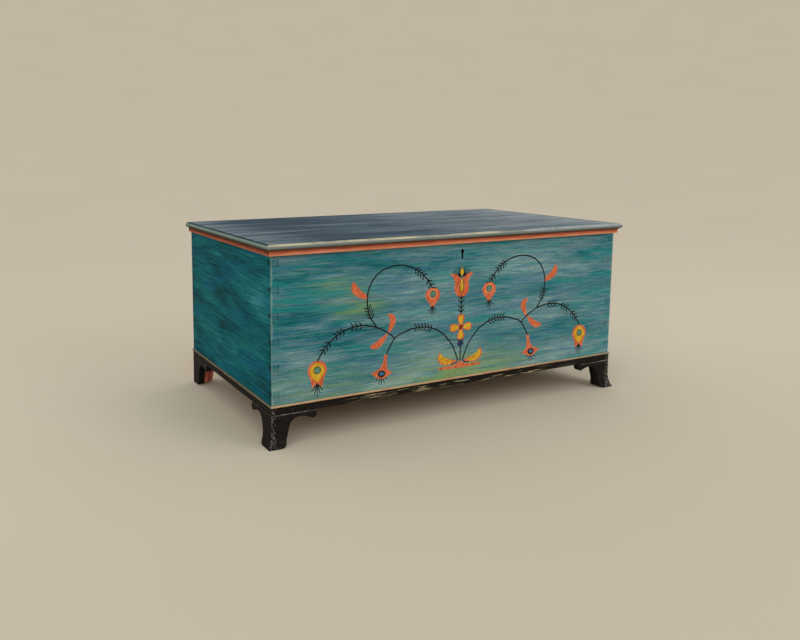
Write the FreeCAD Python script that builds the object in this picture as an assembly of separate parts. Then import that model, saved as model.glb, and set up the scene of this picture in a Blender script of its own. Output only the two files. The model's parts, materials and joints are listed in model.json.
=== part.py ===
import FreeCAD, Part
import math
import os

# A painted lift-lid chest on bracket feet. The case is four boards dovetailed at the corners, on a
# bottom nailed up from below. The lid is two boards with a moulded edge, on two strap hinges, and
# locks with a let-in chest lock. Millimetres, +Z up, the front towards -Y, and the origin on the
# floor under the middle of the whole chest.

Vector = FreeCAD.Vector

# Case: outside sizes, and the thickness of its four boards
CASE_WIDTH = 1220.0
CASE_DEPTH = 670.0
CASE_HEIGHT = 422.0
CASE_BOARD = 22.0

# Dovetails: pins on the ends, tails on the front and back
PIN_COUNT = 6
PIN_TIP = 11.0
PIN_SLOPE = 5.5

# Bottom boards, tongued together, and the tongue that the lid boards share
BOTTOM_THICKNESS = 21.0
TONGUE_THICKNESS = 6.0
TONGUE_DEPTH = 8.0

# Open till across the left end of the case
TILL_WIDTH = 150.0
TILL_HEIGHT = 105.0
TILL_DROP = 24.0
TILL_BOARD = 12.0
DADO_DEPTH = 8.0

# Lid, with a step and a half-round nose on its front and ends
LID_THICKNESS = 15.0
LID_OVERHANG = 19.0
LID_STEP = 2.0

# Cove moulding under the lid, clear of the case that it closes over
COVE_HEIGHT = 16.0
COVE_FOOT = 7.5
COVE_RADIUS = 4.0
COVE_LIP = 2.0
COVE_CLEARANCE = 0.6

# Base: a bead on the case, a rail round the edge of the bottom
BEAD_HEIGHT = 5.0
BEAD_PROJECTION = 5.0
RAIL_THICKNESS = 15.0
RAIL_PROJECTION = 2.0
RAIL_ROUND = 3.0

# Bracket feet: section, and the scrolled outline along the front and, with a broader leg, along the ends
FOOT_HEIGHT = 90.0
BRACKET_THICKNESS = 20.0
TOE_FLARE = 12.0
FLARE_HEIGHT = 44.0
TOE_ROUND = 16.0
FRONT_TOE_WIDTH = 39.0
FRONT_ANKLE_WIDTH = 49.0
FRONT_ARCH_RADIUS = 30.0
FRONT_SPUR_REACH = 132.0
SIDE_TOE_WIDTH = 52.0
SIDE_ANKLE_WIDTH = 63.0
SIDE_ARCH_RADIUS = 27.0
SIDE_SPUR_REACH = 139.0
CROWN_DROP = 12.0
SPUR_RADIUS = 11.0
SPUR_TURN = 240.0
BACK_BRACKET_THICKNESS = 20.0
BACK_BRACKET_TOE = 56.0
BACK_BRACKET_TOP = 76.0
FOOT_BLOCK = 18.0
FOOT_BLOCK_LIFT = 3.0
GLUE_STRIP_HEIGHT = 10.0
GLUE_STRIP_WIDTH = 18.0
GLUE_STRIP_END = 108.0

# Strap hinges, hung on the back with the strap under the lid
HINGE_SPACING = 780.0
HINGE_PIN_RADIUS = 2.5
PIN_CLEARANCE = 0.1
STRAP_THICKNESS = 3.0
STRAP_LENGTH = 300.0
STRAP_ROOT = 34.0
STRAP_NECK = 17.0
STRAP_PENNY = 19.0
LEAF_LENGTH = 125.0
LEAF_NECK = 17.0
LEAF_PENNY = 15.0
KNUCKLE_WIDTH = 16.0
LEAF_KNUCKLE = 10.0
KNUCKLE_GAP = 0.4
BARREL_GAP = 0.5
NOTCH_CLEARANCE = 0.4

# Keyhole and lock, let into the inside of the front
KEYHOLE_RADIUS = 6.0
KEYHOLE_SLOT = 6.0
KEYHOLE_DROP = 23.0
KEYHOLE_DEPTH = 40.0
LOCK_WIDTH = 116.0
LOCK_HEIGHT = 76.0
LOCK_PLATE = 2.5
LOCK_BORDER = 10.0
LOCK_WELL = 12.0
SELVAGE_WIDTH = 18.0
KEY_POST_RADIUS = 2.2
KEY_POST_LENGTH = 9.5

# Bolt and the two keepers that guide it
BOLT_DROP = 18.0
BOLT_HEIGHT = 8.0
BOLT_THICKNESS = 4.0
BOLT_TAIL = 46.0
BOLT_TIP = 19.0
BOLT_CLEARANCE = 0.3
TALON_WIDTH = 4.0
TALON_GAP = 4.0
TALON_DROP = 6.0
TALON_OFFSET = 4.0
KEEPER_WIDTH = 5.0
KEEPER_WALL = 1.8
KEEPER_PLACES = (-33.0, 13.0)

# Spring leaf that bears on the bolt
SPRING_THICKNESS = 1.0
SPRING_LENGTH = 34.0
SPRING_BOW = 6.0
SPRING_CENTRE = -8.0
SPRING_STUD = 4.0

# Staple on the lid that the bolt shoots through
STAPLE_PLATE = 2.5
STAPLE_LENGTH = 52.0
STAPLE_WIDTH = 18.0
EYE_PLACE = 24.0
EYE_THICKNESS = 3.5
EYE_WALL = 2.3
EYE_HOLE_WIDTH = 6.0
EYE_HOLE_HEIGHT = 11.0
EYE_CLEARANCE = 1.2

# Nails: square tapered shanks under forged or flush heads
ROSE_HEAD_WIDTH = 9.0
ROSE_HEAD_HEIGHT = 2.2
ROSE_SHANK = 3.6
BRAD_HEAD_WIDTH = 3.4
BRAD_HEAD_HEIGHT = 1.0
BRAD_SHANK = 2.0
NAIL_POINT = 0.35
STRAP_NAILS = 4
STRAP_NAIL_INSET = 48.0
LEAF_NAILS = 3
LEAF_NAIL_INSET = 26.0
LOCK_NAIL_INSET = 12.0
STAPLE_NAIL_INSET = 8.0
FRONT_NAILS = 6
SIDE_NAILS = 4
BOTTOM_NAIL_BITE = 28.0
RAIL_NAIL_BITE = 24.0
COVE_NAIL_BITE = 10.0
PLATE_NAIL_BITE = 10.0
NAIL_END_INSET = 60.0

# Levels, faces and places that the pieces share
BARREL_RADIUS = HINGE_PIN_RADIUS + STRAP_THICKNESS
HINGE_REACH = BARREL_GAP + 2.0 * BARREL_RADIUS
LEFT_X = -CASE_WIDTH / 2.0
RIGHT_X = CASE_WIDTH / 2.0
FRONT_Y = (LID_OVERHANG - CASE_DEPTH - HINGE_REACH) / 2.0
BACK_Y = FRONT_Y + CASE_DEPTH
CASE_Z = FOOT_HEIGHT + BOTTOM_THICKNESS
RIM_Z = CASE_Z + CASE_HEIGHT
LID_TOP = RIM_Z + LID_THICKNESS
BOTTOM_INSET = RAIL_THICKNESS - RAIL_PROJECTION
HINGE_X = HINGE_SPACING / 2.0
HINGE_Y = BACK_Y + BARREL_GAP + BARREL_RADIUS
HINGE_Z = RIM_Z - BARREL_RADIUS
BARREL_LENGTH = KNUCKLE_WIDTH + 2.0 * (KNUCKLE_GAP + LEAF_KNUCKLE)
KEY_Z = RIM_Z - KEYHOLE_DEPTH
BOLT_Z = RIM_Z - BOLT_DROP
PLATE_Y = FRONT_Y + CASE_BOARD - LOCK_PLATE
BOLT_Y = PLATE_Y - LOCK_WELL / 2.0

# More than any moulding or foot stands out or reaches in, for cutting mitres
MITRE_REACH = 2.0 * BRACKET_THICKNESS + TOE_FLARE + LID_OVERHANG


class Through(tuple):
    """A point in the middle of an arc of an outline."""


def block(x0, x1, y0, y1, z0, z1):
    return Part.makeBox(x1 - x0, y1 - y0, z1 - z0, Vector(x0, y0, z0))


def one_solid(shape):
    """The only solid in a boolean result, with its split faces joined again where that leaves it sound."""
    joined = shape.removeSplitter()
    solids = joined.Solids if joined.isValid() else shape.Solids
    if len(solids) != 1:
        raise ValueError("expected one solid, found %d" % len(solids))
    return solids[0]


def mirrored(shape):
    """The same piece for the other end of the chest."""
    return shape.mirror(Vector(0.0, 0.0, 0.0), Vector(1.0, 0.0, 0.0))


def around(centre, radius, degrees):
    angle = math.radians(degrees)
    return (centre[0] + radius * math.cos(angle), centre[1] + radius * math.sin(angle))


def outline_face(path, place):
    """A flat face inside a closed outline of lines, and of arcs through the marked points."""
    edges = []
    start = path[0]
    middle = None
    for point in path[1:] + [path[0]]:
        if isinstance(point, Through):
            middle = point
            continue
        if middle is not None:
            edges.append(Part.Arc(place(*start), place(*middle), place(*point)).toShape())
        elif point != start:
            edges.append(Part.makeLine(place(*start), place(*point)))
        start = point
        middle = None
    return Part.Face(Part.Wire(edges))


def mitre_region(corners):
    """A tall prism over the corners, which keeps one side's share of a mitred frame."""
    face = outline_face(corners, lambda x, y: Vector(x, y, 0.0))
    return face.extrude(Vector(0.0, 0.0, LID_TOP))


def front_strip(path):
    """A strip along the front, from its section (out from the case, height), mitred at both ends."""
    start_x = LEFT_X - MITRE_REACH
    face = outline_face(path, lambda out, z: Vector(start_x, FRONT_Y - out, z))
    strip = face.extrude(Vector(CASE_WIDTH + 2.0 * MITRE_REACH, 0.0, 0.0))
    region = mitre_region([
        (LEFT_X - MITRE_REACH, FRONT_Y - MITRE_REACH),
        (RIGHT_X + MITRE_REACH, FRONT_Y - MITRE_REACH),
        (RIGHT_X - MITRE_REACH, FRONT_Y + MITRE_REACH),
        (LEFT_X + MITRE_REACH, FRONT_Y + MITRE_REACH),
    ])
    return one_solid(strip.common(region))


def left_strip(path):
    """A strip along the left end, mitred in front and square at the back of the case."""
    start_y = FRONT_Y - MITRE_REACH
    face = outline_face(path, lambda out, z: Vector(LEFT_X - out, start_y, z))
    strip = face.extrude(Vector(0.0, CASE_DEPTH + MITRE_REACH, 0.0))
    region = mitre_region([
        (LEFT_X - MITRE_REACH, FRONT_Y - MITRE_REACH),
        (LEFT_X + MITRE_REACH, FRONT_Y + MITRE_REACH),
        (LEFT_X + MITRE_REACH, BACK_Y),
        (LEFT_X - MITRE_REACH, BACK_Y),
    ])
    return one_solid(strip.common(region))


def three_strips(name, path):
    """The front, left and right lengths of one moulding."""
    left = left_strip(path)
    return {
        name + "_front": front_strip(path),
        name + "_left": left,
        name + "_right": mirrored(left),
    }


def spread(first, last, count):
    """Evenly spaced places from the first to the last."""
    return [first + (last - first) * index / (count - 1) for index in range(count)]


def frustum(y0, half0, y1, half1):
    """A four-sided taper along +Y."""
    return Part.makeWedge(-half0, y0, -half0, -half1, -half1, half0, y1, half0, half1, half1)


def point_along(solid, place, direction):
    """Turns a piece made along +Y to a direction, with its origin at a place."""
    solid.Placement = FreeCAD.Placement(place, FreeCAD.Rotation(Vector(0.0, 1.0, 0.0), direction))
    return solid


def rose_nail(place, direction, length):
    """A forged nail whose low pyramid head stands on the surface at the place."""
    shank = frustum(0.0, ROSE_SHANK / 2.0, length, ROSE_SHANK * NAIL_POINT / 2.0)
    head = frustum(-ROSE_HEAD_HEIGHT, ROSE_SHANK / 2.0, 0.0, ROSE_HEAD_WIDTH / 2.0)
    return point_along(one_solid(head.fuse(shank)), place, direction)


def flush_brad(place, direction, length):
    """A small nail with its head set level with the surface at the place."""
    shank = frustum(0.0, BRAD_SHANK / 2.0, length, BRAD_SHANK * NAIL_POINT / 2.0)
    head = frustum(0.0, BRAD_HEAD_WIDTH / 2.0, BRAD_HEAD_HEIGHT, BRAD_SHANK / 2.0)
    return point_along(one_solid(head.fuse(shank)), place, direction)


def dovetail_pins(y0):
    """The pins of the left end board through the thickness of the board that starts at y0."""
    pitch = CASE_HEIGHT / PIN_COUNT
    tip = PIN_TIP / 2.0
    root = tip + CASE_BOARD / PIN_SLOPE
    pins = []
    for index in range(PIN_COUNT):
        middle = CASE_Z + (index + 0.5) * pitch
        face = outline_face([
            (LEFT_X, middle - tip),
            (LEFT_X + CASE_BOARD, middle - root),
            (LEFT_X + CASE_BOARD, middle + root),
            (LEFT_X, middle + tip),
        ], lambda x, z: Vector(x, y0, z))
        pins.append(face.extrude(Vector(0.0, CASE_BOARD, 0.0)))
    return pins


def case_boards():
    """Front, back and ends: the ends' pins fill the sockets between the tails."""
    front_pins = dovetail_pins(FRONT_Y)
    back_pins = dovetail_pins(BACK_Y - CASE_BOARD)
    end = block(LEFT_X, LEFT_X + CASE_BOARD, FRONT_Y + CASE_BOARD, BACK_Y - CASE_BOARD, CASE_Z, RIM_Z)
    end = one_solid(end.multiFuse(front_pins + back_pins))
    front = block(LEFT_X, RIGHT_X, FRONT_Y, FRONT_Y + CASE_BOARD, CASE_Z, RIM_Z)
    front = front.cut(front_pins + [mirrored(pin) for pin in front_pins])
    back = block(LEFT_X, RIGHT_X, BACK_Y - CASE_BOARD, BACK_Y, CASE_Z, RIM_Z)
    back = back.cut(back_pins + [mirrored(pin) for pin in back_pins])
    return {
        "front_board": one_solid(front),
        "back_board": one_solid(back),
        "left_end_board": end,
        "right_end_board": mirrored(end),
    }


def tongued_pair(whole, joint_y, middle_z):
    """Splits a panel into a front board with a groove and a rear board with a tongue."""
    bounds = whole.BoundBox
    rear = block(bounds.XMin, bounds.XMax, joint_y, bounds.YMax, bounds.ZMin, bounds.ZMax)
    tongue = block(bounds.XMin, bounds.XMax, joint_y - TONGUE_DEPTH, joint_y,
                   middle_z - TONGUE_THICKNESS / 2.0, middle_z + TONGUE_THICKNESS / 2.0)
    rear_side = rear.fuse(tongue)
    return one_solid(whole.cut(rear_side)), one_solid(whole.common(rear_side))


def bottom_boards():
    """Two tongued boards under the case, inside the front and side rails."""
    whole = block(LEFT_X + BOTTOM_INSET, RIGHT_X - BOTTOM_INSET, FRONT_Y + BOTTOM_INSET, BACK_Y,
                  FOOT_HEIGHT, CASE_Z)
    front, rear = tongued_pair(whole, (FRONT_Y + BACK_Y) / 2.0, (FOOT_HEIGHT + CASE_Z) / 2.0)
    return {"bottom_board_front": front, "bottom_board_rear": rear}


def till():
    """A shelf and an upright side, housed in grooves in the front, the back and the left end."""
    inner_x = LEFT_X + CASE_BOARD
    side_x = inner_x + TILL_WIDTH
    front_y = FRONT_Y + CASE_BOARD - DADO_DEPTH
    back_y = BACK_Y - CASE_BOARD + DADO_DEPTH
    top_z = RIM_Z - TILL_DROP
    shelf_z = top_z - TILL_HEIGHT
    shelf = block(inner_x - DADO_DEPTH, side_x + TILL_BOARD, front_y, back_y, shelf_z - TILL_BOARD, shelf_z)
    side = block(side_x, side_x + TILL_BOARD, front_y, back_y, shelf_z, top_z)
    return {"till_bottom": shelf, "till_side": side}


def lid_edge(edge, inward):
    """The moulded edge from the top of the lid to its underside: a step, then a half-round nose."""
    nose = (LID_THICKNESS - LID_STEP) / 2.0
    root = edge + inward * nose
    return [
        (root, LID_TOP),
        (root, LID_TOP - LID_STEP),
        Through((edge, RIM_Z + nose)),
        (root, RIM_Z),
    ]


def lid_boards():
    """The moulded panel, where the edge along the front meets the edges of the ends at mitres."""
    front_y = FRONT_Y - LID_OVERHANG
    left_x = LEFT_X - LID_OVERHANG
    right_x = RIGHT_X + LID_OVERHANG
    along = outline_face(lid_edge(front_y, 1.0) + [(BACK_Y, RIM_Z), (BACK_Y, LID_TOP)],
                         lambda y, z: Vector(left_x, y, z))
    across = outline_face(lid_edge(left_x, 1.0) + lid_edge(right_x, -1.0)[::-1],
                          lambda x, z: Vector(x, front_y, z))
    panel = along.extrude(Vector(right_x - left_x, 0.0, 0.0))
    panel = panel.common(across.extrude(Vector(0.0, BACK_Y - front_y, 0.0)))
    front, rear = tongued_pair(one_solid(panel), (front_y + BACK_Y) / 2.0, RIM_Z + LID_THICKNESS / 2.0)
    return {"lid_board_front": front, "lid_board_rear": rear}


def cove_mouldings():
    """Strips under the lid's overhang that close down over the top of the case."""
    inner = COVE_CLEARANCE
    foot = inner + COVE_FOOT
    outer = foot + COVE_RADIUS
    centre = (outer, RIM_Z - COVE_LIP - COVE_RADIUS)
    return three_strips("lid_cove", [
        (inner, RIM_Z),
        (inner, RIM_Z - COVE_HEIGHT),
        (foot, RIM_Z - COVE_HEIGHT),
        (foot, centre[1]),
        Through(around(centre, COVE_RADIUS, 135.0)),
        (outer, RIM_Z - COVE_LIP),
        (outer, RIM_Z),
    ])


def base_mouldings():
    """The half-round bead on the foot of the case, and the rail round the edge of the bottom."""
    nose = BEAD_HEIGHT / 2.0
    bead = three_strips("base_bead", [
        (0.0, CASE_Z),
        (BEAD_PROJECTION - nose, CASE_Z),
        Through((BEAD_PROJECTION, CASE_Z + nose)),
        (BEAD_PROJECTION - nose, CASE_Z + BEAD_HEIGHT),
        (0.0, CASE_Z + BEAD_HEIGHT),
    ])
    corner = (RAIL_PROJECTION - RAIL_ROUND, FOOT_HEIGHT + RAIL_ROUND)
    rail = three_strips("base_rail", [
        (-BOTTOM_INSET, CASE_Z),
        (RAIL_PROJECTION, CASE_Z),
        (RAIL_PROJECTION, corner[1]),
        Through(around(corner, RAIL_ROUND, -45.0)),
        (corner[0], FOOT_HEIGHT),
        (-BOTTOM_INSET, FOOT_HEIGHT),
    ])
    return {**bead, **rail}


def bracket_outline(toe_width, ankle_width, arch_radius, spur_reach):
    """The scrolled face of a foot, from the corner of the case: toe, ankle, arch and rounded spur."""
    arch = (ankle_width + arch_radius, FOOT_HEIGHT - CROWN_DROP - arch_radius)
    crown = (arch[0], FOOT_HEIGHT - CROWN_DROP)
    spur = (spur_reach - SPUR_RADIUS, FOOT_HEIGHT - SPUR_RADIUS)
    spur_start = around(spur, SPUR_RADIUS, SPUR_TURN)
    run = spur_start[0] - crown[0]
    fall = crown[1] - spur_start[1]
    sweep = (run ** 2 + fall ** 2) / (2.0 * fall)
    half_turn = math.degrees(math.asin(run / sweep)) / 2.0
    toe = (toe_width - TOE_ROUND, TOE_ROUND)
    return [
        (-MITRE_REACH, 0.0),
        (toe[0], 0.0),
        Through(around(toe, TOE_ROUND, -45.0)),
        (toe_width, TOE_ROUND),
        (ankle_width, arch[1]),
        Through(around(arch, arch_radius, 135.0)),
        crown,
        Through(around((crown[0], crown[1] - sweep), sweep, 90.0 - half_turn)),
        spur_start,
        Through(around(spur, SPUR_RADIUS, (SPUR_TURN - 270.0) / 2.0)),
        (spur[0], FOOT_HEIGHT),
        (-MITRE_REACH, FOOT_HEIGHT),
    ]


def bracket_section(flared):
    """Across a bracket: flat behind, and in front straight or swept out to the toe."""
    outer = RAIL_PROJECTION
    inner = RAIL_PROJECTION - BRACKET_THICKNESS
    back = [(inner, 0.0), (inner, FOOT_HEIGHT)]
    if not flared:
        return [(outer, FOOT_HEIGHT), (outer, 0.0)] + back
    radius = (TOE_FLARE ** 2 + FLARE_HEIGHT ** 2) / (2.0 * TOE_FLARE)
    half_turn = math.degrees(math.asin(FLARE_HEIGHT / radius)) / 2.0
    bend = Through(around((outer + radius, FLARE_HEIGHT), radius, 180.0 + half_turn))
    return [(outer, FOOT_HEIGHT), (outer, FLARE_HEIGHT), bend, (outer + TOE_FLARE, 0.0)] + back


def bracket_feet():
    """Mitred front feet that sweep out at the toe, and rear feet with a plain bracket behind."""
    front_outline = bracket_outline(FRONT_TOE_WIDTH, FRONT_ANKLE_WIDTH, FRONT_ARCH_RADIUS, FRONT_SPUR_REACH)
    side_outline = bracket_outline(SIDE_TOE_WIDTH, SIDE_ANKLE_WIDTH, SIDE_ARCH_RADIUS, SIDE_SPUR_REACH)
    reach = 2.0 * MITRE_REACH
    on_front = outline_face(front_outline, lambda s, z: Vector(LEFT_X + s, FRONT_Y - MITRE_REACH, z))
    on_side = outline_face(side_outline, lambda s, z: Vector(LEFT_X - MITRE_REACH, FRONT_Y + s, z))
    on_rear_side = outline_face(side_outline, lambda s, z: Vector(LEFT_X - MITRE_REACH, BACK_Y - s, z))
    flared = bracket_section(True)
    plain = bracket_section(False)
    front = front_strip(flared).common(on_front.extrude(Vector(0.0, reach, 0.0)))
    side = left_strip(flared).common(on_side.extrude(Vector(reach, 0.0, 0.0)))
    rear_side = left_strip(plain).common(on_rear_side.extrude(Vector(reach, 0.0, 0.0)))
    inner_x = LEFT_X - RAIL_PROJECTION + BRACKET_THICKNESS
    back = outline_face([
        (inner_x, 0.0),
        (LEFT_X + BACK_BRACKET_TOE, 0.0),
        (LEFT_X + BACK_BRACKET_TOP, FOOT_HEIGHT),
        (inner_x, FOOT_HEIGHT),
    ], lambda x, z: Vector(x, BACK_Y - BACK_BRACKET_THICKNESS, z))
    left = {
        "front_%s_foot_front_bracket": one_solid(front),
        "front_%s_foot_side_bracket": one_solid(side),
        "rear_%s_foot_side_bracket": one_solid(rear_side),
        "rear_%s_foot_back_bracket": back.extrude(Vector(0.0, BACK_BRACKET_THICKNESS, 0.0)),
    }
    feet = {}
    for name, solid in left.items():
        feet[name % "left"] = solid
        feet[name % "right"] = mirrored(solid)
    return feet


def foot_blocks():
    """Posts in the corners behind the brackets, and strips that hold the brackets to the bottom."""
    inner_x = LEFT_X - RAIL_PROJECTION + BRACKET_THICKNESS
    front_y = FRONT_Y - RAIL_PROJECTION + BRACKET_THICKNESS
    rear_y = BACK_Y - BACK_BRACKET_THICKNESS
    block_x = inner_x + FOOT_BLOCK
    front = block(inner_x, block_x, front_y, front_y + FOOT_BLOCK, FOOT_BLOCK_LIFT, FOOT_HEIGHT)
    rear = block(inner_x, block_x, rear_y - FOOT_BLOCK, rear_y, FOOT_BLOCK_LIFT, FOOT_HEIGHT)
    low_z = FOOT_HEIGHT - GLUE_STRIP_HEIGHT
    strip_x = inner_x + GLUE_STRIP_WIDTH
    strip_y = front_y + GLUE_STRIP_WIDTH
    strips = [
        block(block_x, LEFT_X + GLUE_STRIP_END, front_y, strip_y, low_z, FOOT_HEIGHT),
        block(inner_x, strip_x, front_y + FOOT_BLOCK, FRONT_Y + GLUE_STRIP_END, low_z, FOOT_HEIGHT),
        block(inner_x, strip_x, BACK_Y - GLUE_STRIP_END, rear_y - FOOT_BLOCK, low_z, FOOT_HEIGHT),
    ]
    return {
        "front_left_foot_block": front,
        "front_right_foot_block": mirrored(front),
        "rear_left_foot_block": rear,
        "rear_right_foot_block": mirrored(rear),
        "foot_glue_strips": Part.makeCompound(strips + [mirrored(strip) for strip in strips]),
    }


def barrel(middle_x, width, radius):
    """A cylinder on the hinge axis."""
    start = Vector(middle_x - width / 2.0, HINGE_Y, HINGE_Z)
    return Part.makeCylinder(radius, width, start, Vector(1.0, 0.0, 0.0))


def penny_strap(root, neck, penny, length, thickness):
    """A tapering strap that ends in a round penny, along +Y from its root, lying on z = 0."""
    centre_y = length - penny
    face = outline_face([
        (-root / 2.0, 0.0),
        (root / 2.0, 0.0),
        (neck / 2.0, centre_y),
        (-neck / 2.0, centre_y),
    ], lambda x, y: Vector(x, y, 0.0))
    disc = Part.makeCylinder(penny, thickness, Vector(0.0, centre_y, 0.0))
    return one_solid(face.extrude(Vector(0.0, 0.0, thickness)).fuse(disc))


def hinge(middle_x):
    """The strap with its single knuckle, the leaf with its pair, and the pin through all three."""
    bore = barrel(middle_x, BARREL_LENGTH, HINGE_PIN_RADIUS + PIN_CLEARANCE)
    x_axis = Vector(1.0, 0.0, 0.0)
    half = KNUCKLE_WIDTH / 2.0
    strap = penny_strap(STRAP_ROOT, STRAP_NECK, STRAP_PENNY, STRAP_LENGTH, STRAP_THICKNESS)
    strap.Placement = FreeCAD.Placement(Vector(middle_x, BACK_Y, RIM_Z), FreeCAD.Rotation(x_axis, 180.0))
    tail = block(middle_x - half, middle_x + half, BACK_Y, HINGE_Y, RIM_Z - STRAP_THICKNESS, RIM_Z)
    knuckle = barrel(middle_x, KNUCKLE_WIDTH, BARREL_RADIUS)
    strap = one_solid(strap.multiFuse([tail, knuckle]).cut(bore))
    leaf = penny_strap(BARREL_LENGTH, LEAF_NECK, LEAF_PENNY, LEAF_LENGTH, STRAP_THICKNESS)
    leaf.Placement = FreeCAD.Placement(Vector(middle_x, BACK_Y, HINGE_Z), FreeCAD.Rotation(x_axis, -90.0))
    half_relief = half + KNUCKLE_GAP
    relief = block(middle_x - half_relief, middle_x + half_relief, BACK_Y, BACK_Y + STRAP_THICKNESS,
                   HINGE_Z - BARREL_RADIUS - KNUCKLE_GAP, HINGE_Z)
    offset = half + KNUCKLE_GAP + LEAF_KNUCKLE / 2.0
    knuckles = [barrel(middle_x + side * offset, LEAF_KNUCKLE, BARREL_RADIUS) for side in (-1.0, 1.0)]
    leaf = one_solid(leaf.cut(relief).multiFuse(knuckles).cut(bore))
    return strap, leaf, barrel(middle_x, BARREL_LENGTH, HINGE_PIN_RADIUS)


def hinges():
    pieces = {}
    for side, middle_x in (("left", -HINGE_X), ("right", HINGE_X)):
        strap, leaf, pin = hinge(middle_x)
        pieces["hinge_strap_" + side] = strap
        pieces["hinge_leaf_" + side] = leaf
        pieces["hinge_pin_" + side] = pin
    return pieces


def strap_notches():
    """Where the straps pass over the top edge of the back."""
    half = STRAP_ROOT / 2.0 + NOTCH_CLEARANCE
    low_z = RIM_Z - STRAP_THICKNESS - NOTCH_CLEARANCE
    return [block(middle_x - half, middle_x + half, BACK_Y - CASE_BOARD, BACK_Y, low_z, RIM_Z)
            for middle_x in (-HINGE_X, HINGE_X)]


def keyhole():
    """A round hole for the key's shank over a slot for its bit, through the front."""
    half = KEYHOLE_SLOT / 2.0
    centre = Vector(0.0, FRONT_Y, KEY_Z)
    round_hole = Part.makeCylinder(KEYHOLE_RADIUS, CASE_BOARD, centre, Vector(0.0, 1.0, 0.0))
    slot = block(-half, half, FRONT_Y, FRONT_Y + CASE_BOARD, KEY_Z - KEYHOLE_DROP, KEY_Z)
    return round_hole.fuse(slot)


def lock_well():
    """The hollow in the inside of the front that holds the works behind the plate."""
    half = LOCK_WIDTH / 2.0 - LOCK_BORDER
    floor_z = RIM_Z - LOCK_HEIGHT + LOCK_BORDER
    return block(-half, half, PLATE_Y - LOCK_WELL, PLATE_Y, floor_z, RIM_Z - LOCK_PLATE)


def lock_plate():
    """A bent plate, upright inside the front, whose selvage in the top edge is slotted for the eye."""
    half = LOCK_WIDTH / 2.0
    inner_y = FRONT_Y + CASE_BOARD
    upright = block(-half, half, PLATE_Y, inner_y, RIM_Z - LOCK_HEIGHT, RIM_Z)
    selvage = block(-half, half, inner_y - SELVAGE_WIDTH, inner_y, RIM_Z - LOCK_PLATE, RIM_Z)
    half_x = EYE_THICKNESS / 2.0 + EYE_CLEARANCE
    half_y = LOCK_WELL / 2.0
    slot = block(EYE_PLACE - half_x, EYE_PLACE + half_x, BOLT_Y - half_y, BOLT_Y + half_y,
                 RIM_Z - LOCK_PLATE, RIM_Z)
    return one_solid(upright.fuse(selvage)), slot


def lock_bolt():
    """A flat bar with two talons below it, which the key's bit pushes between."""
    top = BOLT_Z + BOLT_HEIGHT / 2.0
    low = BOLT_Z - BOLT_HEIGHT / 2.0
    talons = [low, low - TALON_DROP, low - TALON_DROP, low]
    gap = TALON_GAP / 2.0
    far = gap + TALON_WIDTH
    middle = -TALON_OFFSET
    talon_x = [-far, -far, -gap, -gap, gap, gap, far, far]
    below = [(middle + x, z) for x, z in zip(talon_x, talons + talons)]
    tail = [(-BOLT_TAIL, top), (-BOLT_TAIL, low)]
    tip = [(BOLT_TIP, low), (BOLT_TIP, top)]
    face = outline_face(tail + below + tip, lambda x, z: Vector(x, BOLT_Y - BOLT_THICKNESS / 2.0, z))
    return face.extrude(Vector(0.0, BOLT_THICKNESS, 0.0))


def lock_keepers():
    """Two bridges on the plate that the bolt slides through."""
    half_y = BOLT_THICKNESS / 2.0 + BOLT_CLEARANCE
    half_z = BOLT_HEIGHT / 2.0 + BOLT_CLEARANCE
    keepers = []
    for x0 in KEEPER_PLACES:
        x1 = x0 + KEEPER_WIDTH
        bridge = block(x0, x1, BOLT_Y - half_y - KEEPER_WALL, PLATE_Y,
                       BOLT_Z - half_z - KEEPER_WALL, BOLT_Z + half_z + KEEPER_WALL)
        way = block(x0, x1, BOLT_Y - half_y, BOLT_Y + half_y, BOLT_Z - half_z, BOLT_Z + half_z)
        keepers.append(one_solid(bridge.cut(way)))
    return Part.makeCompound(keepers)


def lock_spring():
    """A bowed leaf that rests on the bolt, on a stud at the plate."""
    low_z = BOLT_Z + BOLT_HEIGHT / 2.0 + BOLT_CLEARANCE
    half = SPRING_LENGTH / 2.0
    left = SPRING_CENTRE - half
    right = SPRING_CENTRE + half
    end_z = low_z + SPRING_BOW
    y0 = BOLT_Y - BOLT_THICKNESS / 2.0
    leaf = outline_face([
        (left, end_z),
        Through((SPRING_CENTRE, low_z)),
        (right, end_z),
        (right, end_z + SPRING_THICKNESS),
        Through((SPRING_CENTRE, low_z + SPRING_THICKNESS)),
        (left, end_z + SPRING_THICKNESS),
    ], lambda x, z: Vector(x, y0, z)).extrude(Vector(0.0, BOLT_THICKNESS, 0.0))
    stud = block(left, left + SPRING_STUD, y0, PLATE_Y, end_z - SPRING_STUD / 2.0,
                 end_z + SPRING_THICKNESS)
    return one_solid(leaf.fuse(stud))


def key_post():
    """The pin that a hollow key turns on, standing out from the plate towards the keyhole."""
    start = Vector(0.0, PLATE_Y, KEY_Z)
    return Part.makeCylinder(KEY_POST_RADIUS, KEY_POST_LENGTH, start, Vector(0.0, -1.0, 0.0))


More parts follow.
